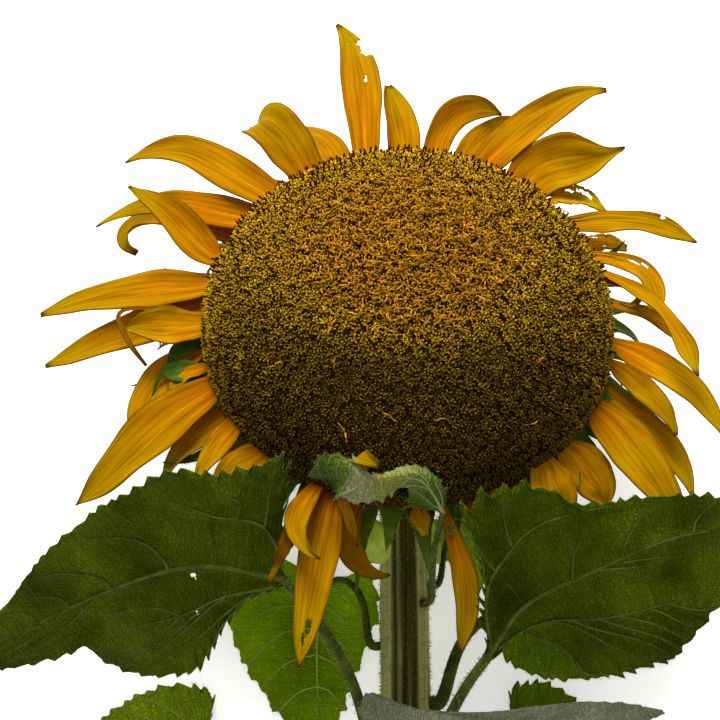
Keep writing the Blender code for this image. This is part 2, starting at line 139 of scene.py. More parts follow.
def layGrid(shape, columns, rows, place):
    # a grid put where place(across, along) says, both from 0 to 1 as in its UVs
    verts = bmesh.ops.create_grid(
        shape, x_segments=columns, y_segments=rows, size=0.5, calc_uvs=True)["verts"]
    for vert in verts:
        vert.co = place(vert.co.x + 0.5, vert.co.y + 0.5)
    return verts


def layTube(shape, sides, rows, place):
    # a grid whose two long edges meet, closed at both ends
    verts = layGrid(shape, sides, rows, place)
    bmesh.ops.remove_doubles(shape, verts=verts, dist=0.001)
    verts = [vert for vert in verts if vert.is_valid]
    rims = {edge for vert in verts for edge in vert.link_edges if edge.is_boundary}
    bmesh.ops.holes_fill(shape, edges=list(rims), sides=0)
    return verts


def growArm(shape, start, sides, radius, steps, step):
    # extrudes a small polygon again and again, each time moved on by step in its own frame
    ring = bmesh.ops.create_circle(
        shape, cap_ends=True, segments=sides, radius=radius, matrix=start)
    tip = ring["verts"][0].link_faces[0]
    place = start
    for _ in range(steps):
        grown = bmesh.ops.extrude_face_region(shape, geom=[tip])["geom"]
        tip = next(part for part in grown if isinstance(part, bmesh.types.BMFace))
        bmesh.ops.transform(shape, verts=tip.verts, matrix=place @ step @ place.inverted())
        place = place @ step


def setLayer(shape, name, value):
    # a number at every point, from value(point)
    layer = shape.verts.layers.float.get(name) or shape.verts.layers.float.new(name)
    for vert in shape.verts:
        vert[layer] = value(vert)


def keepAbove(shape, height=0.4):
    # nothing reaches below the table
    for vert in shape.verts:
        vert.co.z = max(vert.co.z, height)


def finishPiece(name, shape, finishes, replaced=(), thickness=0.0):
    bmesh.ops.translate(shape, verts=shape.verts, vec=shift)
    bmesh.ops.scale(shape, verts=shape.verts, vec=(mm, mm, mm))
    mesh = meshOf(name, shape)
    mesh.shade_smooth()
    for finish in finishes:
        mesh.materials.append(finish)
    piece = bpy.data.objects.new(name, mesh)
    bpy.context.collection.objects.link(piece)
    if thickness:
        wall = piece.modifiers.new("wall", "SOLIDIFY")
        wall.thickness = thickness * mm
        wall.offset = -1.0
    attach(piece, "root")
    if replaced:
        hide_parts(*replaced)
    return piece


def hexColour(code):
    # the linear colour of an sRGB hex value
    channels = [int(code[i:i + 2], 16) / 255 for i in (1, 3, 5)]
    return (*(c / 12.92 if c <= 0.04045 else ((c + 0.055) / 1.055) ** 2.4 for c in channels), 1.0)


def addNode(tree, kind, inputs=None, stops=None, **settings):
    # an input is a number, a hex colour, a socket, or a node for its first open output.
    # MapRange turns the range 1 to 2 into 3 to 4; Mix lays colour 7 over 6 by the share 0
    node = tree.nodes.new("ShaderNode" + kind)
    for name, value in settings.items():
        setattr(node, name, value)
    for key, value in (inputs or {}).items():
        if isinstance(value, bpy.types.Node):
            value = next(output for output in value.outputs if output.enabled)
        if isinstance(value, bpy.types.NodeSocket):
            tree.links.new(value, node.inputs[key])
        else:
            node.inputs[key].default_value = hexColour(value) if isinstance(value, str) else value
    if stops:
        elements = node.color_ramp.elements
        elements[0].position, elements[1].position = stops[0][0], stops[-1][0]
        for place, _ in stops[1:-1]:
            elements.new(place)
        for element, (_, colour) in zip(elements, stops):
            element.color = hexColour(colour)
    return node


def grainScale(size):
    # the scale of a pattern on Object coordinates whose grains are size millimetres wide
    return 1 / (size * mm)


def newMaterial(name):
    made = bpy.data.materials.new(name)
    made.use_nodes = True
    made.node_tree.nodes.clear()
    return made, made.node_tree


def endMaterial(tree, surface, colour=None, share=0.0, bump=None):
    # gives a material its surface; with a colour, that share of the light comes through it
    if colour:
        glow = addNode(tree, "BsdfTranslucent", {"Color": colour})
        if bump:
            tree.links.new(bump.outputs[0], glow.inputs["Normal"])
        surface = addNode(tree, "MixShader", {0: share, 1: surface, 2: glow})
    addNode(tree, "OutputMaterial", {"Surface": surface})


def thinTissue(tree, colour, share, roughness, bump, specular, sheenOf):
    # a satin surface with some of the light coming through it; its gloss takes the tint sheenOf
    surface = addNode(tree, "BsdfPrincipled", {
        "Base Color": colour, "Roughness": roughness, "Normal": bump,
        "Specular IOR Level": specular, "Specular Tint": sheenOf})
    endMaterial(tree, surface, colour, share, bump)


# camera, floor and light

view = dict(lens=65.0, distance=637.0, elevation=70.0, aside=22.54, below=22.05)
light = dict(
    sky=0.62, skyColour="#f8fafc", keyPower=38.0, keySize=0.9, keyDistance=1.5, keyAside=-0.12,
    keyElevation=38.0, keyColour="#fffaf0", floorSize=3.0, floorColour="#fbfbf9", floorGlow=0.5)


def setStage():
    scene = bpy.context.scene
    scene.view_settings.view_transform = "Standard"
    turn = math.radians(view["elevation"])
    forward = Vector((0.0, math.cos(turn), -math.sin(turn)))
    upward = Vector((0.0, math.sin(turn), math.cos(turn)))
    place = rimCentre - view["aside"] * headRight - view["below"] * upward
    place = place - view["distance"] * forward
    camera = bpy.data.objects.new("camera", bpy.data.cameras.new("camera"))
    camera.data.lens = view["lens"]
    camera.location = (place + shift) * mm
    camera.rotation_euler = (math.pi / 2 - turn, 0.0, 0.0)
    scene.collection.objects.link(camera)
    scene.camera = camera

    world = bpy.data.worlds.new("sky")
    world.use_nodes = True
    backdrop = world.node_tree.nodes["Background"]
    backdrop.inputs["Color"].default_value = hexColour(light["skyColour"])
    backdrop.inputs["Strength"].default_value = light["sky"]
    scene.world = world

    lamp = bpy.data.lights.new("key", "AREA")
    lamp.shape = "DISK"
    lamp.size = light["keySize"]
    lamp.energy = light["keyPower"]
    lamp.color = hexColour(light["keyColour"])[:3]
    key = bpy.data.objects.new("key", lamp)
    rise = math.radians(light["keyElevation"])
    towards = Vector((light["keyAside"], math.cos(rise), math.sin(rise)))
    key.location = light["keyDistance"] * towards
    key.rotation_euler = Vector(key.location).to_track_quat("Z", "Y").to_euler()
    scene.collection.objects.link(key)

    floorShape = bmesh.new()
    bmesh.ops.create_grid(floorShape, x_segments=1, y_segments=1, size=light["floorSize"])
    floor = bpy.data.objects.new("floor", meshOf("floor", floorShape))
    scene.collection.objects.link(floor)
    # opal acrylic of a light table: matt and white, and it fills the shadows from beneath
    made, tree = newMaterial("opalAcrylic")
    sheet = addNode(tree, "BsdfPrincipled", {
        "Base Color": light["floorColour"], "Roughness": 0.9,
        "Emission Color": light["floorColour"], "Emission Strength": light["floorGlow"]})
    endMaterial(tree, sheet)
    floor.data.materials.append(made)


setStage()
print("stage set")

# ray petals

# veins, and bands of painted shade: how many lie across a petal, and how often they change along it
petal = dict(
    sections=12, columns=14, rows=44, thickness=0.6, rootGaps=1.5, seed=11,
    cup=0.10, twist=14.0, roll=12.0, uneven=0.05, pleats=7, pleatDepth=0.3, folds=0.11,
    edgeWave=0.9, edgeWaves=(1.2, 2.2), holeWobble=0.5, shadeSpread=0.22, patchSize=38.5,
    veins=(13.0, 1.3, 1.0), bands=(3.2, 1.1, 1.0), relief=0.5,
    base="#c47400", middle="#cc9000", tip="#b09000", edge="#6c5006", brown="#5c3606",
    vein="#a06400", pale="#e0ac00")

# one row for each petal, anticlockwise from the right: azimuth and tier of its root, length;
# then from root to tip its headings in the rim's plane (0 right, 90 far, 180 left, 270 near),
# its lifts out of that plane and its widths
petalRows = (
    (7, -6, 54, (340, 330, 310, 295), (6, 2, -4), (4, 7, 8, 8, 5, 1)),
    (18, -3, 94, (320, 311, 291, 280, 270), (16, 14, 10), (4, 6, 8, 7, 8, 9, 1)),
    (25, -7, 62, (362, 348, 317, 273, 227), (2, -2, -10), (7, 9, 12, 15, 15, 10, 2)),
    (30, -10, 32, (385, 380, 360, 340), (-2, -12), (9, 12, 13, 12, 5)),
    (37, -3, 73, (0, 0, -10, -28, -44), (10, 6, 2), (10, 12, 15, 15, 14, 10, 1)),
    (48, -7, 47, (42, 32, -4, -38, -35), (8, 2, -6), (8, 12, 16, 16, 10, 1)),
    (54, -5, 70, (53, 42, 5, 10, 32), (14, 10, 4), (15, 24, 30, 33, 32, 22, 8, 1)),
    (68, -3, 95, (53, 45, 38, 28, -5), (14, 10, 6), (13, 18, 22, 22, 18, 13, 4)),
    (73, -9, 60, (72, 64, 48, 27, -20), (14, 10, 2), (11, 13, 15, 16, 13, 9, 1)),
    (81, -5, 68, (82, 74, 54, -4, -50), (18, 14, 6), (11, 13, 15, 17, 16, 11, 1)),
    (89, -9, 59, (90, 95, 104, 108), (18, 16, 8), (13, 16, 19, 21, 21, 16, 5)),
    (101, -3, 103, (92, 93, 95, 102, 130), (14, 10, 4), (10, 15, 19, 22, 21, 14, 1)),
    (109, -8, 54, (103, 108, 120, 150, 195), (10, 2, -14), (14, 17, 20, 20, 19, 14, 4)),
    (118, -4, 67, (118, 122, 130, 140, 140), (18, 16, 6, -120), (16, 21, 26, 29, 30, 24, 3)),
    (124, -9, 36, (144, 148, 158, 162), (-2, -10), (13, 16, 17, 15, 6)),
    (129, -3, 94, (157, 151, 154, 195, 234), (13, 11, 7), (17, 21, 24, 24, 19, 9, 1)),
    (138, -5, 90, (170, 172, 180, 206, 230), (8, 6, 2), (15, 20, 21, 18, 11, 5, 1)),
    (145, -10, 90, (152, 156, 166, 222, 350), (-4, -4, -10), (10, 17, 18, 16, 15, 9, 3)),
    (158, -3, 63, (164, 138, 135, 150, 154), (20, 16, 12), (10, 18, 20, 18, 15, 9, 1)),
    (166, -6, 87, (190, 186, 193, 198, 199), (4, 0, -5), (12, 20, 24, 21, 17, 12, 2)),
    (174, -10, 84, (190, 198, 204, 206, 198), (0, -4, -8), (15, 21, 24, 23, 19, 12, 1)),
    (182, -3, 38, (200, 195, 190, 190), (14, 10), (15, 20, 23, 22, 14, 1)),
    (188, -9, 64, (203, 222, 240, 272, 290), (-6, -12, -18), (10, 15, 18, 19, 17, 13, 1)),
    (196, -5, 24, (198, 205, 230, 252), (-4, -14), (6, 8, 7, 5, 1)),
    (204, -3, 85, (214, 220, 226, 222, 203), (0, -12, -34), (15, 23, 27, 26, 21, 13, 1)),
    (211, -9, 42, (217, 222, 232, 250), (-4, -14), (11, 14, 14, 12, 7, 1)),
    (217, -3, 38, (241, 239, 245, 258), (6, -10), (9, 12, 12, 9, 5, 1)),
    (223, -9, 28, (223, 228, 242, 250), (-8, -20), (7, 10, 10, 8, 5, 1)),
    (229, -3, 32, (206, 214, 232, 238), (-2, -16), (10, 16, 17, 14, 9, 1)),
    (242, -8, 59, (266, 256, 250), (18, 8), (4, 6, 7, 7, 5, 2)),
    (246, -3, 56, (246, 250, 262, 295, 325), (30, 12), (6, 9, 12, 12, 9, 5, 1)),
    (250, -6, 86, (258, 262, 262, 260), (14, 2, -8), (9, 15, 18, 17, 14, 10, 1)),
    (252, -3, 30, (284, 286, 282), (16, -6), (4, 6, 6, 4, 1)),
    (257, -10, 46, (240, 258, 294, 345, 385), (-16, -34), (6, 9, 11, 12, 10, 6, 1)),
    (255, -3, 45, (257, 257, 300, 350), (97, 105, 60, -30), (9, 12, 13, 13, 9, 2)),
    (272, -8, 14, (275, 285, 290), (-4, -20), (5, 9, 10, 6, 1)),
    (278, -6, 68, (287, 288, 284, 263, 250), (-12, -28, -44), (4, 6, 9, 12, 11, 8, 1)),
    (287, -9, 22, (288, 286), (-4, -12), (8, 11, 10, 7, 1)),
    (293, -4, 25, (271, 277), (-2, -14), (8, 11, 11, 8, 1)),
    (298, -9, 32, (272, 285), (16, -10, -28), (9, 14, 15, 12, 1)),
    (307, -3, 32, (278, 288, 300), (18, -22, -56), (10, 18, 20, 20, 14, 1)),
    (315, -6, 35, (313, 311, 306, 296), (6, -24, -56), (12, 20, 22, 21, 14, 1)),
    (329, -3, 68, (306, 305, 302, 297), (6, -12, -30), (12, 20, 24, 23, 20, 14, 1)),
    (337, -9, 66, (318, 316, 311, 296, 276), (-2, -14), (11, 14, 16, 16, 13, 8, 1)),
    (345, -4, 50, (316, 310, 304, 292, 277), (6, 0), (5, 11, 13, 13, 11, 6, 1)),
    (354, -9, 76, (325, 322, 312, 290, 280), (8, 4), (7, 15, 18, 17, 13, 9, 1)),
)

# what sets a petal apart.  holes: place along, place across (-1 clockwise side, 1 the other),
# half length and half width; fringe: how ragged the edge is; dry: how withered; twist: how far
# the tip is turned, and roll: how far the clockwise and the other edge curl up, both in degrees;
# shade: how much darker or lighter the petal is painted, partly its own tone and partly painted
# shade on petals that lay shaded and painted light on petals that lay lit
petalLooks = {
    1: dict(shade=-0.1, roll=(10, 30)),
    2: dict(shade=0.15, roll=(0, 24)),
    3: dict(holes=((0.42, 0.55, 0.05, 0.12), (0.5, 0.7, 0.03, 0.1)), twist=-30, shade=0.1),
    4: dict(holes=((0.3, 0.5, 0.08, 0.2), (0.5, 0.7, 0.06, 0.14), (0.62, -0.2, 0.04, 0.1)),
            fringe=0.5, shade=0.2),
    5: dict(holes=((0.72, 0.9, 0.02, 0.12),), shade=-0.05),
    6: dict(holes=((0.3, 0.1, 0.03, 0.12), (0.55, 0.45, 0.05, 0.12), (0.7, 0.6, 0.09, 0.2)),
            fringe=0.5, shade=0.35),
    7: dict(twist=48, dry=0.1, roll=(50, 0)),
    9: dict(twist=40),
    10: dict(twist=60, shade=0.1),
    11: dict(roll=(0, 70)),
    12: dict(holes=((0.8, -0.95, 0.06, 0.5), (0.6, -0.3, 0.025, 0.05), (0.86, 0.2, 0.008, 0.05)),
             twist=0),
    13: dict(shade=0.1),
    14: dict(shade=-0.2, twist=0),
    15: dict(shade=-0.45),
    18: dict(dry=0.3, shade=-0.25, twist=30),
    19: dict(roll=(20, 0)),
    22: dict(roll=(30, 36), shade=-0.1),
    30: dict(dry=1.0, shade=-0.6, fringe=0.5),
    31: dict(shade=-0.3, twist=40, dry=0.16),
    32: dict(holes=((0.8, 0.12, 0.055, 0.22), (0.86, -0.12, 0.04, 0.16)), shade=-0.25),
    33: dict(shade=-0.3),
    34: dict(shade=-0.25, dry=0.2),
    35: dict(dry=0.3, shade=-0.25),
    36: dict(shade=0.6),
    37: dict(shade=-0.1, dry=0.12),
    45: dict(dry=0.4, shade=-0.1),
}


def petalStations(row):
    # centre, side and normal at equal steps along a petal
    azimuth, tier, length, headings, lifts, _ = row
    azimuth = math.radians(azimuth)
    centre = headPoint(head["receptacleRadius"], azimuth, tier)
    centre = centre + outward(azimuth) * head["gap"] * petal["rootGaps"]
    stations = [(centre, alongRim(azimuth), headAxis)]
    for step in range(petal["sections"]):
        share = (step + 0.5) / petal["sections"]
        flat = outward(math.radians(onPath(headings, share)))
        lift = math.radians(onPath(lifts, share))
        along = math.cos(lift) * flat + math.sin(lift) * headAxis
        normal = math.cos(lift) * headAxis - math.sin(lift) * flat
        centre = centre + along * length / petal["sections"]
        stations.append((centre, normal.cross(along), normal))
    return stations


def makePetal(number, row, finish):
    look = petalLooks.get(number, {})
    rng = random.Random(petal["seed"] + number)
    centres, sides, normals = zip(*petalStations(row))
    phase = rng.uniform(0, anyTurn)
    drift = Vector((rng.uniform(0, 99), number * 7.0, 0.0))    # where this petal's noise is read
    waves = rng.uniform(*petal["edgeWaves"])
    turn = math.radians(look.get("twist", rng.uniform(-petal["twist"], petal["twist"])))
    curls = [rng.uniform(0, petal["roll"]) for _ in range(2)]
    roll = [math.radians(angle) for angle in look.get("roll", curls)]
    fringe = look.get("fringe", 0.0)

    def place(across, along):
        t = 2 * across - 1
        half = max(0.3, onPath(row[5], along) / 2)
        ragged = noise.noise(Vector((along * 26, 3.0 * math.copysign(1, t), 0)) + drift)
        uneven = petal["uneven"] * noise.noise(Vector((along * 5, t, 0)) + drift)
        half *= 1 + uneven - fringe * max(0.0, ragged)
        centre = onPath(centres, along)
        side = onPath(sides, along).normalized()
        normal = onPath(normals, along).normalized()
        side, normal = (math.cos(turn * along) * side + math.sin(turn * along) * normal,
                        math.cos(turn * along) * normal - math.sin(turn * along) * side)
        curl = roll[t > 0] * smoothStep(0.3, 1.0, abs(t)) * smoothStep(0.1, 0.6, along)
        out = t * half * math.cos(curl * 0.5)
        up = abs(t) * half * math.sin(curl * 0.5)
        up -= petal["cup"] * 2 * half * (1 - t * t)
        fade = smoothStep(0.0, 0.12, along) * (1 - 0.75 * along)
        up += petal["pleatDepth"] * fade * math.cos(petal["pleats"] * math.pi * t + phase)
        broad = noise.noise(Vector((t * 1.7, along * 3.2, 0)) + drift)
        fine = noise.noise(Vector((t * 4.0, along * 5.0, 9)) + drift)
        up += petal["folds"] * half * smoothStep(0.0, 0.2, along) * (broad + 0.6 * fine)
        up += petal["edgeWave"] * abs(t) ** 3 * smoothStep(0.1, 0.4, along) * math.sin(
            math.tau * waves * along + phase * (2 + t))
        return centre + side * out + normal * up

    shape = newShape()
    finer = 2 if "holes" in look or fringe else 1
    layGrid(shape, petal["columns"] * finer, petal["rows"] * finer, place)
    uvLayer = shape.loops.layers.uv.active
    gone = []
    for face in shape.faces:
        spot = sum((loop[uvLayer].uv for loop in face.loops), Vector((0.0, 0.0))) / len(face.loops)
        wobble = noise.noise(Vector((spot.x * 9, spot.y * 40, 0)) + drift)
        for along, across, halfLong, halfWide in look.get("holes", ()):
            far = math.hypot((spot.y - along) / halfLong, (2 * spot.x - 1 - across) / halfWide)
            if far < 1 + petal["holeWobble"] * wobble:
                gone.append(face)
                break
    bmesh.ops.delete(shape, geom=gone, context="FACES")

    dryness = look.get("dry", 0.0)
    # its shade: the listed value, partly painted shade and light, and a random spread of tone
    shade = look.get("shade", 0.0) + rng.uniform(-petal["shadeSpread"], petal["shadeSpread"])
    setLayer(shape, "shade", lambda vert: shade)
    setLayer(shape, "dry", lambda vert: dryness * (0.6 + 0.6 * noise.noise(vert.co * 0.12 + drift)))
    return finishPiece(f"petal{number:02d}", shape, [finish],
                       [f"ray_petal_{number:02d}"], petal["thickness"])


def petalTissue():
    # fresh ray petal: a thin dull satin skin that light comes through; golden, with fine lengthwise
    # veins, paler ribs between them and broad oranger and greener stretches
    made, tree = newMaterial("petalTissue")
    uv = addNode(tree, "UVMap", uv_map="UVMap")
    place = addNode(tree, "TexCoord").outputs["Object"]
    across, along, _ = addNode(tree, "SeparateXYZ", {0: uv}).outputs
    ground = addNode(tree, "ValToRGB", {0: along}, stops=[
        (0.0, petal["base"]), (0.4, petal["middle"]), (1.0, petal["tip"])])
    patches = addNode(tree, "TexNoise", {
        "Vector": place, "Scale": grainScale(petal["patchSize"]), "Detail": 2.0})
    hue = addNode(tree, "MapRange", {0: patches, 1: 0.3, 2: 0.7, 3: 0.482, 4: 0.516})
    colour = addNode(tree, "HueSaturation", {"Hue": hue, "Color": ground})
    # veins about two millimetres apart, which fade in and out
    drawn = addNode(tree, "Mapping", {0: uv, 3: petal["veins"]})
    streaks = addNode(tree, "TexNoise", {
        "Vector": drawn, "Scale": 1.0, "Detail": 2.0, "Roughness": 0.7})
    veins = addNode(tree, "MapRange", {0: streaks, 1: 0.5, 2: 0.64, 3: 0.0, 4: 0.7})
    ribs = addNode(tree, "MapRange", {0: streaks, 1: 0.48, 2: 0.34, 3: 0.0, 4: 0.55})
    for share, over in ((veins, petal["vein"]), (ribs, petal["pale"])):
        colour = addNode(tree, "Mix", {0: share, 6: colour, 7: over}, data_type="RGBA")
    # painted shade and light: wide soft darker and lighter bands along the petal, for light falling
    # on its lengthwise folds
    wide = addNode(tree, "Mapping", {0: uv, 3: petal["bands"]})
    bands = addNode(tree, "TexNoise", {"Vector": wide, "Scale": 1.0, "Detail": 1.0})
    band = addNode(tree, "MapRange", {0: bands, 1: 0.3, 2: 0.7, 3: 0.66, 4: 1.0})
    colour = addNode(tree, "HueSaturation", {"Value": band, "Color": colour})
    # the thickened edge and the tip are darker, and so is what has withered
    off = addNode(tree, "Math", {0: across, 1: 0.5}, operation="SUBTRACT")
    reach = addNode(tree, "Math", {0: off}, operation="ABSOLUTE")
    edge = addNode(tree, "MapRange", {0: reach, 1: 0.45, 2: 0.5, 3: 0.0, 4: 0.85})
    point = addNode(tree, "MapRange", {0: along, 1: 0.95, 2: 0.99, 3: 0.0, 4: 0.9})
    dry = addNode(tree, "Attribute", attribute_name="dry").outputs["Fac"]
    for share, over in ((edge, petal["edge"]), (point, petal["brown"]), (dry, petal["brown"])):
        colour = addNode(tree, "Mix", {0: share, 6: colour, 7: over}, data_type="RGBA")
    # painted shade and light: each petal's shade darkens or lightens all of it
    shade = addNode(tree, "Attribute", attribute_name="shade").outputs["Fac"]
    lightness = addNode(tree, "MapRange", {0: shade, 1: -1.0, 2: 1.0, 3: 0.45, 4: 1.55})
    toned = addNode(tree, "HueSaturation", {"Value": lightness, "Color": colour})
    bump = addNode(tree, "Bump", {
        "Strength": 0.5, "Distance": petal["relief"] * mm, "Height": streaks})
    thinTissue(tree, toned, 0.3, 0.6, bump, 0.03, petal["pale"])
    return made


petalFinish = petalTissue()
for petalNumber, petalRow in enumerate(petalRows, start=1):
    makePetal(petalNumber, petalRow, petalFinish)
print("petals made")

# disc florets

disc = dict(
    count=4100, size=0.92, sizes=(0.82, 1.2), height=4.4, unevenness=0.5, lift=0.25, sway=0.26,
    variants=8, seed=5, budReach=0.62, bloom=0.6, curls=0.5, strayCurls=0.012,
    wallRows=5, wallSpacing=3.8, wallInset=2.4, wallTop=1.6, wallStep=3.0, wallSway=0.2,
    wallLift=0.4, wallDroop=0.2, slopeSteps=240, bedSides=96, bedRows=40, bedRise=1.0,
    speckSize=1.11, mottleSize=3.85,
    bed="#4c3610", deep="#241604", lobe="#846704", tip="#caa00c", orange="#94600a",
    stigma="#b88214", anther="#3a1c02")
# openLobes and budLobes: how far they spread, in degrees, and their length; the tones: the heights
# between which a part's colour changes
floret = dict(
    lobes=5, footRadius=0.75, mouthRadius=1.05, tubeLength=3.4, tubeMiddle=1.6, lobeOut=0.8,
    lobeUp=2.9, lobeRadius=0.52, taper=0.86, lobeStray=0.18, openingStray=16, lobeBends=(-10, 34),
    lobeSizes=(0.8, 1.2), openLobes=(34, 2.1), openTone=(0.0, 5.0), budLobes=(24, 1.9),
    budTone=(0.0, 4.9), styleRadius=0.32, styleStep=2.2, styleTilt=14, fork=4.0, forkAngle=24.0,
    forkStray=0.5, armLength=5.0, armSizes=(0.8, 1.25), armSteps=5, armCurl=34.0,
    armCurls=(-12, 22), armTilt=24, stigmaTone=(-2.0, 6.0), antherFoot=0.6, antherTip=0.45,
    antherMiddle=5.0, antherTone=(0.0, 6.0))


def domePoint(slope, azimuth, sunk=0.0):
    power = 2 / head["squareness"]
    radius = (head["rimRadius"] - sunk) * max(0.0, math.cos(slope)) ** power
    height = head["gap"] + (head["domeHeight"] - sunk) * max(0.0, math.sin(slope)) ** power
    return headPoint(radius, azimuth, height)


def domeNormal(slope, azimuth):
    step = 0.01
    low, high = max(0.0, slope - step), min(math.pi / 2, slope + step)
    upSlope = domePoint(high, azimuth) - domePoint(low, azimuth)
    return alongRim(azimuth).cross(upSlope).normalized()


def slopeTable(count):
    # slopes from the top down to the rim, with the share of the dome's surface inside each
    slopes = [math.pi / 2 * (1 - i / count) for i in range(count + 1)]
    areas = [0.0]
    for a, b in zip(slopes, slopes[1:]):
        first, second = domePoint(a, 0.0), domePoint(b, 0.0)
        middle = ((first + second) / 2 - rimCentre).dot(headRight)
        areas.append(areas[-1] + middle * (second - first).length)
    return slopes, [area / areas[-1] for area in areas]


def bedFinish():
    # the dark scaly bed between the florets: matt brown specks
    made, tree = newMaterial("floretBed")
    place = addNode(tree, "TexCoord").outputs["Object"]
    spots = addNode(tree, "TexNoise", {
        "Vector": place, "Scale": grainScale(disc["speckSize"]), "Detail": 2.0})
    colour = addNode(tree, "ValToRGB", {0: spots}, stops=[(0.35, disc["deep"]), (0.7, disc["bed"])])
    endMaterial(tree, addNode(tree, "BsdfPrincipled", {
        "Base Color": colour, "Roughness": 0.95, "Specular IOR Level": 0.1}))
    return made


scalyBed = bedFinish()


def makeBed():
    shape = newShape()

    def place(across, along):
        sunk = disc["height"] - disc["bedRise"]
        return domePoint(math.pi / 2 * along, math.tau * across, sunk)

    layTube(shape, disc["bedSides"], disc["bedRows"], place)
    bmesh.ops.recalc_face_normals(shape, faces=shape.faces)
    finishPiece("floretBed", shape, [scalyBed], ["disc"])


def corollaShape(rng, spread, lobeLength):
    # a withered tube with five lobes bent outwards
    shape = bmesh.new()
    bmesh.ops.create_cone(
        shape, cap_ends=True, segments=floret["lobes"], radius1=floret["footRadius"],
        radius2=floret["mouthRadius"], depth=floret["tubeLength"],
        matrix=Matrix.Translation((0, 0, floret["tubeMiddle"])))
    for lobe in range(floret["lobes"]):
        stray = rng.uniform(-floret["lobeStray"], floret["lobeStray"])
        azimuth = math.tau * (lobe + stray) / floret["lobes"]
        opening = spread + rng.uniform(-floret["openingStray"], floret["openingStray"])
        start = Matrix.Rotation(azimuth, 4, "Z") @ Matrix.Translation(
            (floret["lobeOut"], 0, floret["lobeUp"])) @ Matrix.Rotation(
            math.radians(opening), 4, "Y")
        bend = Matrix.Rotation(math.radians(rng.uniform(*floret["lobeBends"])), 4, "Y")
        half = lobeLength * rng.uniform(*floret["lobeSizes"]) / 2
        step = Matrix.Translation((0, 0, half)) @ bend
        growArm(shape, start, 3, floret["lobeRadius"], 2, step @ Matrix.Scale(floret["taper"], 4))
    return shape


def stigmaShape(rng):
    # a style that splits in two arms, which curl over
    shape = bmesh.new()
    tilt = math.radians(rng.uniform(-floret["styleTilt"], floret["styleTilt"]))
    start = Matrix.Rotation(tilt, 4, "X")
    radius = floret["styleRadius"]
    growArm(shape, start, 3, radius, 2, Matrix.Translation((0, 0, floret["styleStep"])))
    for arm in (0, 1):
        place = start @ Matrix.Translation((0, 0, floret["fork"])) @ Matrix.Rotation(
            math.pi * arm + rng.uniform(-floret["forkStray"], floret["forkStray"]), 4, "Z")
        place = place @ Matrix.Rotation(math.radians(floret["forkAngle"]), 4, "Y")
        curl = math.radians(floret["armCurl"] + rng.uniform(*floret["armCurls"]))
        tilt = math.radians(rng.uniform(-floret["armTilt"], floret["armTilt"]))
        bend = Matrix.Rotation(curl, 4, "Y") @ Matrix.Rotation(tilt, 4, "X")
        size = floret["armLength"] / floret["armSteps"] * rng.uniform(*floret["armSizes"])
        step = Matrix.Translation((0, 0, size)) @ bend
        growArm(shape, place, 3, radius, floret["armSteps"], step)
    return shape


def antherShape():
    # the dark tube of anthers that stands out of a floret in bloom
    shape = bmesh.new()
    bmesh.ops.create_cone(
        shape, cap_ends=True, segments=floret["lobes"], radius1=floret["antherFoot"],
        radius2=floret["antherTip"], depth=floret["tubeLength"],
        matrix=Matrix.Translation((0, 0, floret["antherMiddle"])))
    return shape


def meshTemplate(shape, heights):
    # tone runs from 0 at the first height to 1 at the second
    low, high = heights
    bmesh.ops.recalc_face_normals(shape, faces=shape.faces)
    setLayer(shape, "tone", lambda vert: (vert.co.z - low) / (high - low))
    shape.verts.layers.float.new("ripe")
    return meshOf("template", shape)


def scatter(shape, template, matrix, ripe):
    # adds a copy of the template mesh to shape
    copy = template.copy()
    copy.transform(matrix)
    copy.attributes["ripe"].data.foreach_set("value", [ripe] * len(copy.vertices))
    shape.from_mesh(copy)
    bpy.data.meshes.remove(copy)


def floretFinish(name, roughness):
    # withered corolla or stigma: papery, dull, darker towards its base
    made, tree = newMaterial(name)
    tone = addNode(tree, "Attribute", attribute_name="tone").outputs["Fac"]
    ripe = addNode(tree, "Attribute", attribute_name="ripe").outputs["Fac"]
    young = addNode(tree, "ValToRGB", {0: tone}, stops=[
        (0.25, disc["deep"]), (0.7, disc["lobe"]), (0.95, disc["tip"])])
    old = addNode(tree, "ValToRGB", {0: tone}, stops=[
        (0.25, disc["deep"]), (0.6, disc["orange"]), (0.95, disc["stigma"])])
    mixed = addNode(tree, "Mix", {0: ripe, 6: young, 7: old}, data_type="RGBA")
    place = addNode(tree, "TexCoord").outputs["Object"]
    spots = addNode(tree, "TexNoise", {
        "Vector": place, "Scale": grainScale(disc["mottleSize"]), "Detail": 2.0})
    uneven = addNode(tree, "MapRange", {0: spots, 1: 0.3, 2: 0.7, 3: 0.62, 4: 1.3})
    # those below nought are darker: florets still closed, and on the side of the stem painted shade
    closed = addNode(tree, "MapRange", {0: ripe, 1: -0.75, 2: 0.0, 3: 0.34, 4: 1.06})
    value = addNode(tree, "Math", {0: uneven, 1: closed}, operation="MULTIPLY")
    toned = addNode(tree, "HueSaturation", {"Value": value, "Color": mixed})
    endMaterial(tree, addNode(tree, "BsdfPrincipled", {
        "Base Color": toned, "Roughness": roughness, "Specular IOR Level": 0.08}))
    return made


def antherFinish():
    # dry dark brown tubes, dull
    made, tree = newMaterial("antherBrown")
    endMaterial(tree, addNode(tree, "BsdfPrincipled", {
        "Base Color": disc["anther"], "Roughness": 0.9, "Specular IOR Level": 0.0}))
    return made


